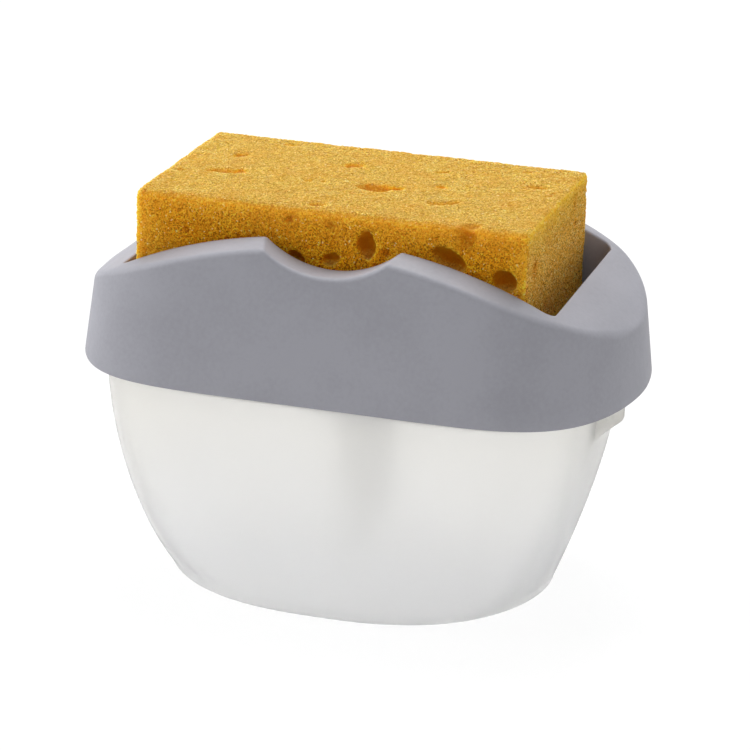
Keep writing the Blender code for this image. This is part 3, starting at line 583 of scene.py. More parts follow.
def wave(x):
    x = abs(x)
    if x <= arc_x:
        return peak_z - arc_radius + math.sqrt(arc_radius ** 2 - x ** 2)
    run = ledge_x - arc_x
    t = min(1.0, (x - arc_x) / run)
    slope = -arc_x / math.sqrt(arc_radius ** 2 - arc_x ** 2)
    start = 2 * t ** 3 - 3 * t ** 2 + 1
    lean = (t ** 3 - 2 * t ** 2 + t) * run * slope
    return start * (peak_z - ARC_DROP) + lean + (1 - start) * ledge_z


def land_fall(y):
    width = max(0.0, abs(y) - well_y)
    if width < LAND_EASE:
        return LAND_SLOPE * width ** 2 / (2 * LAND_EASE)
    return LAND_SLOPE * (width - LAND_EASE / 2)


def notch_floor(x):
    return notch_centre_z - math.sqrt(NOTCH_RADIUS ** 2 - x ** 2)


def surface(x, y):
    """Height of the cover's top, with the corners of the finger notch eased."""
    high = wave(x) - land_fall(y)
    if abs(x) >= NOTCH_RADIUS * 0.95:
        return high
    low = notch_floor(x) + NOTCH_RISE * max(0.0, abs(y) - well_y)
    near = max(CUSP_BLEND - abs(high - low), 0) / CUSP_BLEND
    return min(high, low) - near * near * CUSP_BLEND / 4


def notch_edge(y):
    rise = NOTCH_RISE * max(0.0, abs(y) - well_y)
    return bisect(lambda x: notch_floor(x) + rise - wave(x) + land_fall(y), 0.0, NOTCH_RADIUS)


notch_edge_x = notch_edge(well_y)
crease_edge_x = notch_edge(skirt_y - DRAFT * (peak_z - skirt_bottom))


def skirt_shape(z, inset):
    lean = DRAFT * (z - skirt_bottom) + inset
    return skirt_x - lean, skirt_y - lean


wall_end = well_x - WELL_CORNER * 3
END_STEPS = 30
WALL_STEPS = 22               # from the end of the long wall to near the notch
CORNER_STEPS = 15             # over the notch's corner
NOTCH_STEPS = 16              # from there to the middle
CORNER_REACH = 0.003          # on both sides of the notch's corner
CORNER_STEP = 0.0004


def cover_columns():
    """Places round the cover, closer together at the notch's corners."""
    before = notch_edge_x + CORNER_REACH
    after = notch_edge_x - CORNER_REACH
    half = [wall_end * (1 - i / WALL_STEPS) + before * i / WALL_STEPS for i in range(WALL_STEPS)]
    half += [before - CORNER_STEP * i for i in range(CORNER_STEPS)]
    half += [after * (1 - i / NOTCH_STEPS) for i in range(NOTCH_STEPS)]
    along = half + [0.0] + [-x for x in reversed(half)]
    ends = [i / END_STEPS for i in range(END_STEPS - 1, -END_STEPS, -1)]
    loop = [("wall", 1, x) for x in along]
    loop += [("end", -1, v) for v in ends]
    loop += [("wall", -1, -x) for x in along]
    loop += [("end", 1, -v) for v in ends]
    return loop


def slide(x):
    """Where a place along the long wall lies on the skirt: the notch is shorter there."""
    shift = notch_edge_x - crease_edge_x
    beyond = max(0.0, (abs(x) - notch_edge_x) / (wall_end - notch_edge_x))
    share = min(1.0, abs(x) / notch_edge_x) * (1 - beyond)
    return x - math.copysign(shift * share, x)


def outer_point(column, z, inset):
    half_x, half_y = skirt_shape(z, inset)
    p, q = SKIRT_POWERS
    kind, side, value = column
    if kind == "wall":
        x = slide(value)
        return x, side * half_y * (1 - (abs(x) / half_x) ** p) ** (1 / q)
    limit = math.acos((wall_end / half_x) ** (p / 2))
    angle = limit * abs(value)
    y = math.copysign(half_y * math.sin(angle) ** (2 / q), value)
    return side * half_x * math.cos(angle) ** (2 / p), y


def inner_point(column, offset):
    kind, side, value = column
    if kind == "wall":
        return value, side * (well_y + offset)
    share = abs(value)
    sign = 1 if value >= 0 else -1
    corner_x = well_x - WELL_CORNER
    corner_y = well_y - WELL_CORNER
    radius = WELL_CORNER + offset
    if share > 0.8:                               # last of the long wall
        x = blend(wall_end, corner_x, (1 - share) / 0.2)
        return side * x, sign * (well_y + offset)
    if share > 0.4:                               # the corner, then half the short wall
        angle = math.pi / 2 * (share - 0.4) / 0.4
        return (side * (corner_x + radius * math.cos(angle)),
                sign * (corner_y + radius * math.sin(angle)))
    return side * (well_x + offset), sign * corner_y * share / 0.4


def cover_section(column):
    """The wall at one place: up the well, over the top, down the skirt and back inside."""
    points = []

    def inner(offset, drop):
        x, y = inner_point(column, offset)
        return x, y, surface(x, y) - drop

    def outer(inset, drop):
        x, y = outer_point(column, ledge_z, inset)
        for _ in range(8):
            x, y = outer_point(column, surface(x, y) - drop, inset)
        return x, y, surface(x, y) - drop

    def land(drop, start, end, count):
        for i in range(1, count + 1):
            x = blend(start[0], end[0], i / (count + 1))
            y = blend(start[1], end[1], i / (count + 1))
            points.append((x, y, surface(x, y) - drop))

    x, y = inner_point(column, 0)
    well_bottom = lid_top + GAP
    for share in (0, 0.02, 0.3, 0.6, 0.9):
        points.append((x, y, blend(well_bottom, surface(x, y) - RIM_RADIUS, share)))
    points += [inner(inset, drop) for inset, drop in arc(RIM_RADIUS, 5)]
    over = [outer(inset, drop) for drop, inset in arc(CREASE_RADIUS, 8)]
    land(0, points[-1], over[0], 8)
    points.extend(over)
    crease = over[-1][2]
    skirt = [(0, blend(skirt_bottom, crease, share)) for share in (0.98, 0.8, 0.6, 0.4, 0.2)]
    for inset, rise in ((0, 1), (0.3, 0.3), (1, 0)):
        skirt.append((inset * FOOT_EDGE, skirt_bottom + rise * FOOT_EDGE))
    for inset, rise in ((1, 0), (0.3, 0.3), (0, 1)):
        skirt.append((COVER_WALL - inset * FOOT_EDGE, skirt_bottom + rise * FOOT_EDGE))
    skirt += [(COVER_WALL, blend(skirt_bottom, crease, share)) for share in (0.3, 0.6, 0.95)]
    points += [(*outer_point(column, z, inset), z) for inset, z in skirt]
    points.append(outer(COVER_WALL, COVER_WALL))
    under = inner(COVER_WALL, COVER_WALL)
    land(COVER_WALL, points[-1], under, 4)
    points.append(under)
    x, y = inner_point(column, COVER_WALL)
    points.append((x, y, well_bottom))
    return points


def clip_windows():
    """The openings in the well's wall for the lid's clips."""
    shape = bmesh.new()
    size = Matrix.Diagonal((CLIP_WIDTH + 2 * CLIP_PLAY, 2 * COVER_WALL,
                            CLIP_HEIGHT + 2 * CLIP_PLAY, 1))
    for side in (1, -1):
        for face in (1, -1):
            place = Matrix.Translation((side * CLIP_X, face * (well_y + COVER_WALL / 2), clip_z))
            bmesh.ops.create_cube(shape, size=1.0, matrix=place @ size)
    return mesh_from(shape, "clip_windows")


def add_cover():
    rings = [cover_section(column) for column in cover_columns()]
    points = [p for ring in rings for p in ring]
    mesh = new_mesh("cover_wall", points, ring_faces(len(rings), len(rings[0])))
    wall = add_object("cover_wall", welded(mesh, 0, outward=True))
    windows = add_object("clip_windows", clip_windows())
    cut_out(wall, windows)
    finish_piece("cover_shell", settled(wall, windows), cover_grey, "cover", "grey_cover",
                 ["cover"])


add_cover()


# Tank
TANK_POWERS_TOP = (5.9, 3.8)
TANK_POWERS_BASE = (2.4, 1.78)
END_TAPER = 0.20
END_CURVE = 1.74
SIDE_TAPER = 0.008
SIDE_CURVE = 2.0
BASE_RADIUS = 0.0018
INNER_RADIUS = 0.0012
TANK_COLUMNS = 168
TANK_LEVELS = 26
TANK_EDGE = 0.0005


def tank_shape(z):
    fall = max(0.0, 1 - z / skirt_bottom)
    share = fall ** END_CURVE
    powers = [blend(t, b, share) for t, b in zip(TANK_POWERS_TOP, TANK_POWERS_BASE)]
    return rim_x * (1 - END_TAPER * share), rim_y * (1 - SIDE_TAPER * fall ** SIDE_CURVE), powers


def tank_ring(z, inset, shape_z=None):
    half_x, half_y, powers = tank_shape(z if shape_z is None else shape_z)
    return [(x, y, z) for x, y in oval(half_x - inset, half_y - inset, powers, TANK_COLUMNS)]


def add_tank():
    """The outside from the rim down to the base, then the inside from the floor up again."""
    top = tank_height - TANK_EDGE
    nick = TANK_EDGE * 0.3
    rings = [tank_ring(tank_height, TANK_EDGE), tank_ring(tank_height - nick, nick)]
    for i in range(TANK_LEVELS + 1):
        rings.append(tank_ring(blend(top, BASE_RADIUS, i / TANK_LEVELS), 0))
    for inset, z in arc(BASE_RADIUS, 7)[1:]:
        rings.append(tank_ring(z, inset, BASE_RADIUS))
    inside = len(rings)
    for inset, z in reversed(arc(INNER_RADIUS, 7)):
        rings.append(tank_ring(TANK_WALL + z, TANK_WALL + inset, BASE_RADIUS))
    for i in range(1, TANK_LEVELS + 1):
        rings.append(tank_ring(blend(TANK_WALL + INNER_RADIUS, top, i / TANK_LEVELS), TANK_WALL))
    rings.append(tank_ring(tank_height - nick, TANK_WALL - nick))
    rings.append(tank_ring(tank_height, TANK_WALL - TANK_EDGE))
    count = TANK_COLUMNS
    faces = ring_faces(len(rings), count, flip=True)
    faces[(inside - 1) * count:inside * count] = [ring_cap(inside - 1, count, flip=True),
                                                  ring_cap(inside, count)]
    points = [p for ring in rings for p in ring]
    mesh_piece("tank_shell", points, faces, milky, "tank", "milky_tank", ["tank"])


LUG_DROP = 0.0093             # of its tip under the skirt's foot
LUG_HALF = 0.0090
LUG_EDGE = 0.0008


def add_lug(side):
    """A round tab under the skirt, its lower face sloping back to the wall."""
    tip = tank_high.x
    reach = tip - rim_x
    low = skirt_bottom - LUG_DROP
    foot = low - reach - TANK_WALL / 2
    inner = tank_shape(foot)[0] - TANK_WALL / 2
    high = tank_height - GAP
    columns = 32
    rows = 8
    points = []
    for i in range(columns + 1):
        angle = math.pi * (i / columns - 0.5)
        c = math.cos(angle)
        y = LUG_HALF * math.sin(angle)
        edge = LUG_EDGE * min(1.0, c * 4)
        fall = math.atan2(low - foot, (tip - inner) * max(c, 0.02))
        bend = edge * math.tan((math.pi / 2 - fall) / 2)
        column = [(inner + (tip - inner) * c, high)]
        x = column[0][0]
        for k in range(rows + 1):
            turn = (math.pi / 2 - fall) * k / rows
            column.append((x - edge * (1 - math.cos(turn)), low + bend - edge * math.sin(turn)))
        column.append((inner, foot))
        points += [(side * px, y, pz) for px, pz in column]
    count = rows + 3
    faces = []
    for i in range(columns):
        for k in range(count - 1):
            a = i * count + k
            faces.append((a, a + count, a + count + 1, a + 1))
    faces.append(tuple(i * count for i in reversed(range(columns + 1))))
    first = list(range(count))
    feet = [i * count + count - 1 for i in range(1, columns)]
    last = [columns * count + k for k in reversed(range(count))]
    faces.append(tuple(first + feet + last))
    mesh = welded(new_mesh("lug", points, faces), 0.00002, outward=True)
    finish_piece("lug_right" if side > 0 else "lug_left", mesh, milky, "tank", "milky_tank")


add_tank()
add_lug(1)
add_lug(-1)


# Sponge: its pores, as a place along a face and across it, length, width, depth and turn, in
# millimetres and degrees; the sides' second place is the height
PORES = {
    "front": (
        (8.2, 102.0, 5.4, 7.7, 3.6, 8), (30.7, 100.9, 10.4, 5.6, 3.6, -27),
        (45.7, 96.9, 7.0, 6.0, 3.6, -8), (-1.3, 97.2, 5.6, 3.6, 2.6, 20),
        (-11.0, 96.4, 5.8, 3.4, 3.0, -30), (-1.6, 106.4, 2.4, 1.8, 0.9, 0),
        (-12.9, 106.9, 3.2, 2.4, 0.9, 30), (14.0, 100.6, 2.6, 3.2, 1.0, 0),
        (-41.8, 100.8, 3.0, 2.2, 0.8, 0), (35.8, 107.4, 4.8, 7.0, 1.1, -18),
        (27.0, 106.4, 1.8, 1.4, 0.7, 0), (-27.0, 99.4, 2.0, 2.6, 0.7, 0),
        (20.5, 97.4, 3.0, 2.2, 1.4, 0), (-24.0, 94.0, 3.6, 2.6, 2.4, 10)),
    "top": (
        (-39.8, -5.8, 11.6, 4.0, 1.5, 10), (-36.8, -4.0, 3.6, 3.6, 1.8, 0),
        (-41.8, 11.2, 5.0, 4.0, 1.5, 30), (-32.8, 26.4, 5.4, 2.2, 1.0, 0),
        (-9.8, 13.2, 6.2, 4.6, 1.8, 40), (2.0, -5.6, 10.8, 7.4, 2.4, 8),
        (7.4, -3.8, 4.8, 3.8, 1.7, 20), (-16.6, -6.0, 3.0, 2.8, 1.1, 0),
        (-12.6, -5.6, 3.6, 2.2, 0.9, 0), (-7.4, -26.6, 5.0, 4.4, 1.4, 50),
        (18.6, 2.0, 4.0, 3.4, 1.8, 0), (21.4, -13.8, 5.6, 3.2, 1.3, 20),
        (25.4, -11.8, 4.8, 3.0, 1.2, 40), (42.4, 11.8, 6.4, 3.4, 1.2, 10),
        (36.4, -30.2, 5.2, 5.0, 1.2, 40), (14.8, 16.4, 6.0, 2.4, 0.9, 20),
        (-52.0, -9.0, 3.0, 1.8, 0.8, 0), (47.8, 4.6, 4.0, 1.6, 0.8, 70),
        (-24.6, 4.0, 2.2, 1.6, 0.7, 0), (36.6, 25.0, 4.0, 2.0, 0.8, 20)),
    "right": (
        (-24.5, 98.5, 4.4, 6.5, 0.8, -20), (17.8, 105.0, 2.6, 9.0, 0.8, 0),
        (-3.0, 101.5, 3.0, 2.2, 1.0, 0), (19.0, 99.0, 4.4, 2.8, 1.4, 20)),
    "left": (
        (-8.0, 99.0, 6.4, 4.0, 3.0, 15), (12.0, 91.0, 4.2, 4.6, 2.6, 0),
        (21.0, 103.0, 3.0, 2.0, 1.0, 0), (-20.0, 88.0, 3.6, 3.0, 1.8, 0)),
    "back": (
        (-40.0, 99.0, 7.4, 4.6, 3.6, 15), (-17.0, 103.6, 4.0, 5.4, 3.2, 0),
        (-6.0, 97.5, 3.4, 2.8, 2.0, 0), (15.0, 100.4, 8.0, 4.0, 3.6, -18),
        (33.0, 96.5, 4.8, 4.2, 3.0, 0), (43.0, 104.0, 2.6, 2.0, 1.0, 0)),
}
# Darker spots, mostly painted shade at dents and pores and a few broad patches of uneven tone on
# top: place, reach and strength
SHADE_AND_TONE_SPOTS = (
    ((35.5, -32.2, 109.4), 3.4, 0.80), ((34.6, -32.2, 105.6), 4.0, 0.40),
    ((40.1, -7.8, 110.1), 4.2, 0.35), ((-1.3, -32.2, 106.8), 2.4, 0.50),
    ((-12.5, -32.2, 107.2), 2.8, 0.45), ((-38.9, -32.2, 101.4), 5.0, 0.30),
    ((2.0, -6.4, 110.1), 7.0, 0.30), ((51.7, 18.0, 106.0), 3.4, 0.40),
    ((51.7, -24.5, 98.0), 3.6, 0.45), ((-36.0, 18.0, 110.1), 9.0, 0.16),
    ((20.0, 22.0, 110.1), 9.0, 0.16), ((48.0, 20.0, 110.1), 6.0, 0.20),
)
SPONGE_VOXEL = 0.00056
SPONGE_ROUND = 0.0010
SPONGE_FRONT_ROUND = 0.0022   # of the upper edge at the front
THREADS = 0.0003              # that the foam's threads stand out from the block, at most
CELL_SCALE = 0.9              # per millimetre
FINE_SCALE = 1.9
SLOW_SCALE = 0.16
CELL_LIFT = 0.00034           # from a cell's middle to its threads
FINE_LIFT = 0.00016
SLOW_LIFT = 0.00022
MEAN_LIFT = 0.00008
TOP_THREAD = 0.30             # share of a top pore's painted shade that its threads keep
CELL_EDGE = 2.2               # how sharply threads stand off from cells
PORE_SHADE_SHARE = 0.92            # share of painted shade at a pore's deepest
CORNER_GLOW = 0.95
TOP_PORE_NOISE = 0.30         # unevenness of a pore's outline, as a share
SIDE_PORE_NOISE = 0.16
TOP_PORE_DEPTHS = (0.0002, 0.0014)   # where a pore's painted shade starts and where it is full
SIDE_PORE_DEPTHS = (0.0004, 0.0018)
SMOOTH_DEPTH = 0.0020         # over which pores become smoother
RIM_DEPTH = 0.0042            # how far the painted glow, for light that shows through, reaches under the top's edges
CORNER_DEPTHS = (0.0065, 0.0034)     # and beside the upright edges, left and right


def pore_place(face, along, across):
    """Where a pore lies on the sponge, with the directions along, across and into it."""
    a = along / 1000
    b = across / 1000
    if face == "top":
        return Vector((a, b, sponge_high.z)), Vector((1, 0, 0)), Vector((0, 1, 0))
    if face in ("front", "back"):
        y = sponge_low.y if face == "front" else sponge_high.y
        return Vector((a, y, b)), Vector((1, 0, 0)), Vector((0, 0, 1))
    x = sponge_high.x if face == "right" else sponge_low.x
    return Vector((x, a, b)), Vector((0, 1, 0)), Vector((0, 0, 1))


def pores_mesh():
    """Uneven egg shapes that are cut out of the block."""
    shape = bmesh.new()
    pores = [(face, *pore) for face, own in PORES.items() for pore in own]
    for number, (face, along, across, length, width, depth, angle) in enumerate(pores):
        place, right, up = pore_place(face, along, across)
        turn = math.radians(angle)
        main = right * math.cos(turn) + up * math.sin(turn)
        side = up * math.cos(turn) - right * math.sin(turn)
        into = main.cross(side)
        uneven = TOP_PORE_NOISE if face == "top" else SIDE_PORE_NOISE
        offset = Vector((number * 3.7, 0, 0))       # so that no two pores have one outline
        ball = bmesh.ops.create_icosphere(shape, subdivisions=3, radius=1)
        for vertex in ball["verts"]:
            p = vertex.co.normalized()
            p *= 1 + uneven * noise.noise(p * 1.3 + offset)
            vertex.co = place + (main * (p.x * length / 2) + side * (p.y * width / 2)
                                 + into * (p.z * depth)) / 1000
    return mesh_from(shape, "pores")


def sponge_mesh():
    """A block with rounded edges, cut by its pores and remeshed evenly."""
    low, high = sponge_low, sponge_high
    shape = bmesh.new()
    bmesh.ops.create_cube(shape, size=1.0, matrix=Matrix.Translation((low + high) / 2)
                          @ Matrix.Diagonal((*(high - low), 1)))
    soft = [edge for edge in shape.edges
            if all(vertex.co.z > low.z + 0.01 and vertex.co.y < 0 for vertex in edge.verts)]
    bmesh.ops.bevel(shape, geom=soft, offset=SPONGE_FRONT_ROUND, segments=6, profile=0.5,
                    affect="EDGES")
    sharp = [edge for edge in shape.edges if edge.calc_face_angle() > 1]
    bmesh.ops.bevel(shape, geom=sharp, offset=SPONGE_ROUND, segments=3, profile=0.5,
                    affect="EDGES")
    block = add_object("sponge_block", mesh_from(shape, "sponge_block"))
    pores = add_object("pores", pores_mesh())
    cut_out(block, pores).use_self = True
    even = block.modifiers.new("even", "REMESH")
    even.mode = "VOXEL"
    even.voxel_size = SPONGE_VOXEL
    return settled(block, pores)


def add_sponge():
    """The foam block, roughened cell by cell, with what its material needs at its points."""
    low, high = sponge_low, sponge_high
    fine = sponge_mesh()
    stores = {name: [] for name in ("rim", "end", "top", "top_pore", "pore_shade", "spark", "shade_and_tone_spot")}
    shade_and_tone_spots = [(Vector(place) / 1000, reach / 1000, share) for place, reach, share in SHADE_AND_TONE_SPOTS]
    moves = []
    for vertex in fine.vertices:
        p = vertex.co
        from_end = max(0.0, min(p.x - low.x, high.x - p.x))
        from_side = max(0.0, min(p.y - low.y, high.y - p.y))
        sides = min(from_end, from_side)
        under = max(0.0, high.z - p.z)           # how far below the top
        depth = min(sides, under, max(0.0, p.z - low.z))
        corner = max(from_end, from_side)
        on_top = vertex.normal.z > 0.5 or under < sides
        # painted sheen: the pale top colour covers a point as far as it faces up
        top = min(1.0, max(0.0, (vertex.normal.z - 0.45) / 0.5))
        # painted shade in the pores grows with depth below the block's faces
        start, full = TOP_PORE_DEPTHS if on_top else SIDE_PORE_DEPTHS
        pore_shade = min(1.0, max(0.0, (depth - start) / (full - start)))
        # painted glow of light that shows through the foam: under the top's edges, and beside the
        # upright edges, reaching further on the left
        band = math.exp(-under / RIM_DEPTH)
        reach = CORNER_DEPTHS[0] if p.x < 0 else CORNER_DEPTHS[1]
        glow = math.exp(-corner / reach) if from_side < from_end else 0.0
        stores["rim"].append(max(band, CORNER_GLOW * glow))
        # darker spots: painted shade at dents and pores, a few broad ones uneven tone
        stores["shade_and_tone_spot"].append(max(share * math.exp(-((p - place).length / reach) ** 2)
                                    for place, reach, share in shade_and_tone_spots))
        # painted light: the ends take a paler, greyer tone
        stores["end"].append(1.0 if from_end < from_side else 0.0)
        stores["top"].append(top)
        stores["top_pore"].append(1.0 if on_top else 0.0)
        place = p * 1000
        near, next_near = noise.voronoi(place * CELL_SCALE)[0][:2]
        cell = min(1.0, (next_near - near) * CELL_EDGE)
        thread = blend(TOP_THREAD, 1.0, cell) if on_top else 1.0
        stores["pore_shade"].append(pore_shade * PORE_SHADE_SHARE * thread)
        stores["spark"].append((1 - pore_shade) * blend(0.85 - 0.6 * band, 0.45, top))
        slow = noise.noise(place * SLOW_SCALE + Vector((7, 3, 11)))
        smooth = max(0.7 if on_top else 0.2, 1 - depth / SMOOTH_DEPTH)
        lift = (CELL_LIFT * (0.5 - cell) + FINE_LIFT * noise.noise(place * FINE_SCALE)) * smooth
        moves.append(vertex.normal * min(THREADS, lift + SLOW_LIFT * slow + MEAN_LIFT))
    for vertex, move in zip(fine.vertices, moves):
        vertex.co += move
    for name, values in stores.items():
        store = fine.attributes.new(name, "FLOAT", "POINT")
        store.data.foreach_set("value", values)
    fine.update()
    piece = finish_piece("sponge_foam_block", fine, foam, "sponge", "sponge_foam", ["sponge"],
                         angle=180)


add_sponge()


# Inner pieces: the solids' forms with rounded edges

def rounded(outline, radius, steps=3):
    """A closed outline with its corners rounded, and a point on each side that keeps faces flat."""
    points = []
    for i, corner in enumerate(outline):
        here = Vector(corner)
        back = Vector(outline[i - 1]) - here
        ahead = Vector(outline[(i + 1) % len(outline)]) - here
        cut = min(radius, back.length * 0.4, ahead.length * 0.4)
        start = here + back.normalized() * cut
        end = here + ahead.normalized() * cut
        points.append(start + back.normalized() * cut * 0.2)
        for k in range(steps + 1):
            t = k / steps
            points.append(start * (1 - t) ** 2 + here * (2 * t * (1 - t)) + end * t ** 2)
        points.append(end + ahead.normalized() * cut * 0.2)
    return points


RIB_DEPTH = 0.0004            # of the collar's grip


def turned(name, profile, material, body, slot, nodes=(), edge=0.2, steps=72, ribs=0,
           ribbed_from=0):
    """A profile in millimetres, down its outer side and up its inner one, turned about Z."""
    outline = rounded([(r / 1000, z / 1000) for r, z in profile], edge / 1000)
    rings = []
    for i in range(steps):
        angle = 2 * math.pi * i / steps
        groove = RIB_DEPTH * (0.5 - 0.5 * math.cos(ribs * angle))
        ring = []
        for r, z in outline:
            if ribs and r > ribbed_from / 1000:
                r -= groove
            ring.append((r * math.cos(angle), r * math.sin(angle), z))
        rings.append(ring)
    loft(name, rings, material, body, slot, nodes)


def add_pump():
    white = (pump_plastic, "cover", "pump_plastic")
    turned("pump_cylinder_body", [
        (10.9, 58.0), (10.9, 56.5), (8.5, 56.5), (8.5, 19.8), (6.0, 18.3), (6.0, 12.0), (4.3, 12.0),
        (4.3, 18.8), (1.6, 18.8), (1.6, 19.8), (3.3, 21.5), (3.3, 24.0), (7.0, 24.0), (7.0, 58.0)],
        *white, ["pump_cylinder"], 0.35)
    turned("pump_collar_body", [
        (13.1, 61.3), (13.1, 50.8), (11.2, 50.8), (11.2, 59.8), (3.8, 59.8), (3.8, 61.3)],
        *white, ["pump_collar"], 0.5, 288, 36, 12.5)
    turned("stem_guide_body", [
        (10.6, 59.5), (10.6, 58.3), (6.7, 58.3), (6.7, 53.4), (3.5, 53.4), (3.5, 59.5)],
        *white, ["stem_guide"])
    turned("ball_cage_body", [
        (3.9, 28.118), (3.9, 25.5), (6.25, 25.5), (6.25, 24.3), (3.0, 24.3), (3.0, 27.218),
        (1.2, 27.218), (1.2, 28.118)], *white, ["ball_cage"])
    turned("dip_tube_body", [(4.0, 18.5), (4.0, 4.0), (3.0, 4.0), (3.0, 18.5)], *white,
           ["dip_tube"])
    turned("collar_gasket_ring", [(10.9, 56.2), (10.9, 55.2), (8.9, 55.2), (8.9, 56.2)],
           seal_rubber, "cover", "soft_seal", ["collar_gasket"], 0.3)
    turned("pump_stem_body", [(3.2, 73.2), (3.2, 46.55), (1.8, 46.55), (1.8, 73.2)],
           pump_plastic, "press", "pump_plastic", ["pump_stem"])
    turned("piston_body", [
        (6.7, 52.95), (6.7, 49.95), (5.2, 49.95), (5.2, 47.45), (6.7, 47.45), (6.7, 44.45),
        (1.8, 44.45), (1.8, 46.25), (3.5, 46.25), (3.5, 52.95)],
        pump_plastic, "press", "pump_plastic", ["piston"])
    turned("piston_seal_ring", [
        (6.8, 49.65), (6.5, 48.7), (6.8, 47.75), (5.5, 47.75), (5.5, 49.65)],
        seal_rubber, "press", "soft_seal", ["piston_seal"], 0.15)


WIRE = 0.00045                # radius of the spring's wire
SPRING_TURNS = 7
SPRING_CLOSING = 0.15         # how much closer its end turns lie


def add_spring():
    """Its end turns lie closer."""
    low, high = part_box("pump_spring")
    coil = high.x - WIRE
    per_turn = 36
    around = 12
    count = SPRING_TURNS * per_turn
    points = []
    for i in range(count + 1):
        share = i / count
        angle = 2 * math.pi * i / per_turn
        closing = SPRING_CLOSING / SPRING_TURNS * math.sin(2 * math.pi * share)
        z = blend(low.z + WIRE, high.z - WIRE, share - closing)
        out = Vector((math.cos(angle), math.sin(angle), 0))
        for k in range(around):
            turn = 2 * math.pi * k / around
            points.append(out * (coil + WIRE * math.cos(turn))
                          + Vector((0, 0, z + WIRE * math.sin(turn))))
    faces = ring_faces(count + 1, around, flip=True)[:-around]
    faces += [ring_cap(0, around), ring_cap(count, around, flip=True)]
    spring = mesh_piece("pump_spring_coil", points, faces, steel, "cover", "spring_steel",
                        ["pump_spring"])
    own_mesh(spring)


def flat_piece(name, outlines, low, high, edge, material, body, slot, nodes=()):
    """A plate from closed outlines with rounded edges; the outlines after the first are holes."""
    curve = bpy.data.curves.new(name, "CURVE")
    curve.dimensions = "2D"
    curve.fill_mode = "BOTH"
    curve.extrude = (high - low) / 2 - edge
    curve.bevel_depth = edge
    curve.bevel_resolution = 3
    curve.offset = -edge
    for outline in outlines:
        spline = curve.splines.new("POLY")
        spline.points.add(len(outline) - 1)
        for point, (x, y) in zip(spline.points, outline):
            point.co = (x, y, 0, 1)
        spline.use_cyclic_u = True
    mesh = settled(add_object(name + "_outline", curve))
    bpy.data.curves.remove(curve)
    mesh.transform(Matrix.Translation((0, 0, (low + high) / 2)))
    finish_piece(name, welded(mesh, 0.000005), material, body, slot, nodes, angle=16)


def round_outline(x, y, radius, count=64):
    angles = [2 * math.pi * i / count for i in range(count)]
    return [(x + radius * math.cos(angle), y + radius * math.sin(angle)) for angle in angles]


def corner_turns(steps=10):
    """The four corners of a rectangle as signs of x and y, each with the angles of its arc."""
    for quarter, (sx, sy) in enumerate(((1, 1), (-1, 1), (-1, -1), (1, -1))):
        yield sx, sy, [math.pi / 2 * (quarter + i / steps) for i in range(steps + 1)]


def box_outline(half_x, half_y, radius, steps=10, middle=(0, 0)):
    return [(middle[0] + sx * (half_x - radius) + radius * math.cos(angle),
             middle[1] + sy * (half_y - radius) + radius * math.sin(angle))
            for sx, sy, angles in corner_turns(steps) for angle in angles]


PLATE_BOTTOM = 0.0735
PLATE_TOP = 0.0760
PLATE_CORNER = 0.0025
PLATE_BORE = 0.0064           # radius of the hole for the hub
SLOT_START = 0.016            # of the first row, from the middle
SLOT_PITCH = 0.0088
SLOT_COLUMNS = 5
SLOT_Y = 0.0155
SLOT_HALF = (0.0013, 0.0100)
RIDGE_HALF = (0.0006, 0.0280)
RIDGE_ROOT = 0.0008           # how deep the ridges stand in the plate
RIDGE_EDGE = 0.0003
PLATE_EDGE = 0.0004
ROUNDING = 0.00001            # that a corner is less than half a width


def add_plate():
    """Slotted plate under the sponge, with ridges on top and the hub over the pump's stem."""
    grey = (plate_grey, "press", "grey_plate")
    outlines = [box_outline(plate_high.x, plate_high.y, PLATE_CORNER),
                round_outline(0, 0, PLATE_BORE)]
    columns = [SLOT_START + SLOT_PITCH * i for i in range(SLOT_COLUMNS)]
    for x in columns:
        for side in (1, -1):
            for y in (SLOT_Y, -SLOT_Y):
                outlines.append(box_outline(*SLOT_HALF, SLOT_HALF[0] - ROUNDING, 8, (side * x, y)))
    flat_piece("press_plate_body", outlines, PLATE_BOTTOM, PLATE_TOP, PLATE_EDGE, *grey,
               ["press_plate"])
    ridges = [box_outline(*RIDGE_HALF, RIDGE_HALF[0] - ROUNDING, 5,
                          (side * (x + SLOT_PITCH / 2), 0))
              for x in columns[:-1] for side in (1, -1)]
    flat_piece("press_plate_ridges", ridges, PLATE_TOP - RIDGE_ROOT, plate_high.z, RIDGE_EDGE,
               *grey)
    turned("press_plate_hub", [
        (7.0, 76.4), (7.0, 69.0), (3.5, 69.0), (3.5, 73.5), (1.8, 73.5), (1.8, 74.5), (5.3, 74.5),
        (5.3, 76.4)], *grey, edge=0.3)
    turned("outlet_valve_dome", [
        (1.2, 76.4), (2.4, 76.015), (2.4, 75.7), (5.0, 75.7), (5.0, 74.8), (0.6, 74.8),
        (0.6, 76.4)], valve_silicone, "press", "valve_silicone", ["outlet_valve"])
    turned("valve_retainer_ring", [(5.0, 76.4), (5.0, 76.0), (3.4, 76.0), (3.4, 76.4)], *grey,
           ["valve_retainer"], 0.1)


LONG_STEPS = 36               # along the fence's long and short sides
SHORT_STEPS = 20


def lid_columns():
    """Places round the fence on the lid, as a point of a corner and the way out from it."""
    corner_x = well_x - WELL_CORNER
    corner_y = well_y - WELL_CORNER
    places = []
    for sx, sy, angles in corner_turns():
        for angle in angles:
            places.append(((sx * corner_x, sy * corner_y), (math.cos(angle), math.sin(angle))))
        start, way = places[-1]
        along = sx == sy
        end = (-start[0], start[1]) if along else (start[0], -start[1])
        count = LONG_STEPS if along else SHORT_STEPS
        for i in range(1, count):
            share = i / count
            places.append(((blend(start[0], end[0], share), blend(start[1], end[1], share)), way))
    return places


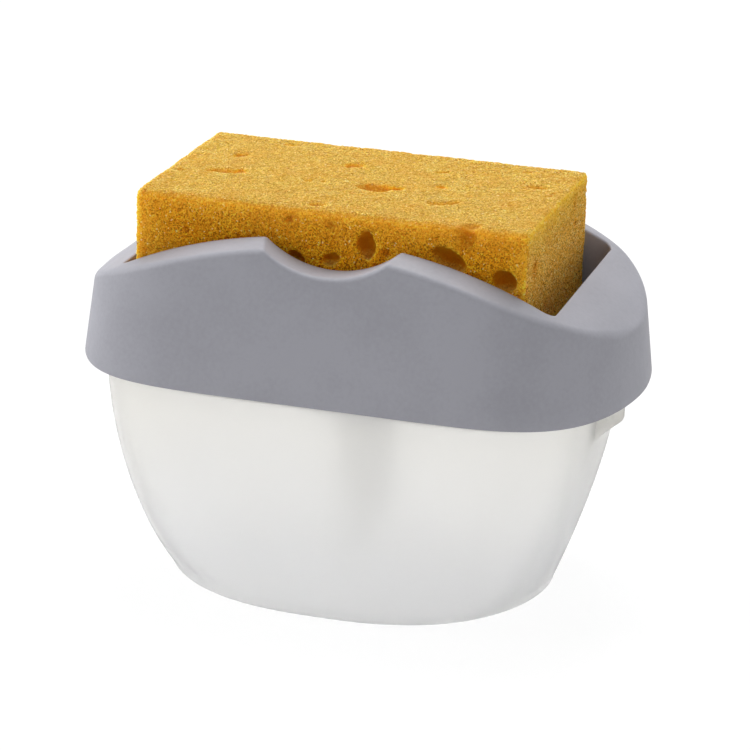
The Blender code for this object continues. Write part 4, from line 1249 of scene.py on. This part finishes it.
# Lid: the faces of its fence, from the well's corner arcs, and of its rib, from the rim
LID_EDGE = 0.0004
FENCE_OUT = 0.0039
FENCE_IN = 0.0023
FENCE_TOP = 0.0704
RIB_OUT = 0.0025
RIB_IN = 0.0041
RIB_BOTTOM = 0.0586
# Its cup: radii of its wall and of the neck that the pump stands in, and heights
CUP_OUT = 0.0172
CUP_IN = 0.0154
NECK_OUT = 0.0109
NECK_IN = 0.0089
CUP_BOTTOM = 0.0486
CUP_FLOOR = 0.0504
NECK_TOP = 0.0549


def add_lid():
    """Lid of the tank: rib below, fence for the cover's well above, and the pump's cup."""
    sections = []
    for (x, y), (out_x, out_y) in lid_columns():
        def fence(offset, z):
            reach = WELL_CORNER + offset
            return x + out_x * reach, y + out_y * reach, z

        fx, fy = fence(FENCE_OUT, 0)[:2]
        angle = math.atan2(fy / rim_y, fx / rim_x)
        far = oval_reach(angle, TANK_POWERS_TOP)

        def rim(inset, z):
            return ((rim_x - inset) * far * math.cos(angle),
                    (rim_y - inset) * far * math.sin(angle), z)

        away = math.hypot(fx, fy)

        def cup(radius, z):
            return radius * fx / away, radius * fy / away, z

        section = [
            fence(FENCE_OUT, FENCE_TOP), fence(FENCE_OUT, lid_top), rim(GAP, lid_top),
            rim(GAP, lid_bottom), rim(RIB_OUT, lid_bottom), rim(RIB_OUT, RIB_BOTTOM),
            rim(RIB_IN, RIB_BOTTOM), rim(RIB_IN, lid_bottom), cup(CUP_OUT, lid_bottom),
            cup(CUP_OUT, CUP_BOTTOM), cup(NECK_IN, CUP_BOTTOM), cup(NECK_IN, NECK_TOP),
            cup(NECK_OUT, NECK_TOP), cup(NECK_OUT, CUP_FLOOR), cup(CUP_IN, CUP_FLOOR),
            cup(CUP_IN, lid_top), fence(FENCE_IN, lid_top), fence(FENCE_IN, FENCE_TOP)]
        sections.append(rounded(section, LID_EDGE))
    loft("tank_lid_body", sections, lid_plastic, "cover", "inner_plastic", ["tank_lid"])


# Clip: its profile as (y, z), and its ends, drawn in a little towards its middle
CLIP_PROFILE = ((0.0371, 0.0696), (0.0353, 0.0696), (0.0345, 0.0686), (0.0345, 0.0678),
                (0.0371, 0.0678))
CLIP_MIDDLE = (0.0365, 0.0687)
CLIP_HALF = (0.0021, 0.0009)
CLIP_EDGE = 0.0002
CLIP_ENDS = ((-0.0040, CLIP_EDGE), (-0.0038, 0), (0.0038, 0), (0.0040, CLIP_EDGE))


def add_clip(side, face):
    """A hook on the fence, flat below and sloping above, that holds the cover."""
    profile = rounded(CLIP_PROFILE, CLIP_EDGE)
    points = []
    for x, shrink in CLIP_ENDS:
        for y, z in profile:
            points.append((side * CLIP_X + x,
                           face * blend(y, CLIP_MIDDLE[0], shrink / CLIP_HALF[0]),
                           blend(z, CLIP_MIDDLE[1], shrink / CLIP_HALF[1])))
    count = len(profile)
    faces = ring_faces(4, count)[:-count]
    faces += [ring_cap(0, count, flip=True), ring_cap(3, count)]
    name = "lid_clip_%s_%s" % ("right" if side > 0 else "left", "back" if face > 0 else "front")
    mesh_piece(name, points, faces, lid_plastic, "cover", "inner_plastic")


SEAL_EDGE = 0.0003


def add_seal():
    outer = oval(rim_x - GAP, rim_y - GAP, TANK_POWERS_TOP, TANK_COLUMNS)
    inner = oval(rim_x - TANK_WALL, rim_y - TANK_WALL, TANK_POWERS_TOP, TANK_COLUMNS)
    sections = []
    for a, b in zip(outer, inner):
        sections.append(rounded([(*a, seal_high.z), (*a, seal_low.z), (*b, seal_low.z),
                                 (*b, seal_high.z)], SEAL_EDGE))
    loft("lid_seal_ring", sections, seal_rubber, "cover", "soft_seal", ["lid_seal"])


add_pump()
add_spring()
add_plate()
add_lid()
for side in (1, -1):
    for face in (1, -1):
        add_clip(side, face)
add_seal()
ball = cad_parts["inlet_ball"]
ball.data.materials.clear()
ball.data.materials.append(steel)
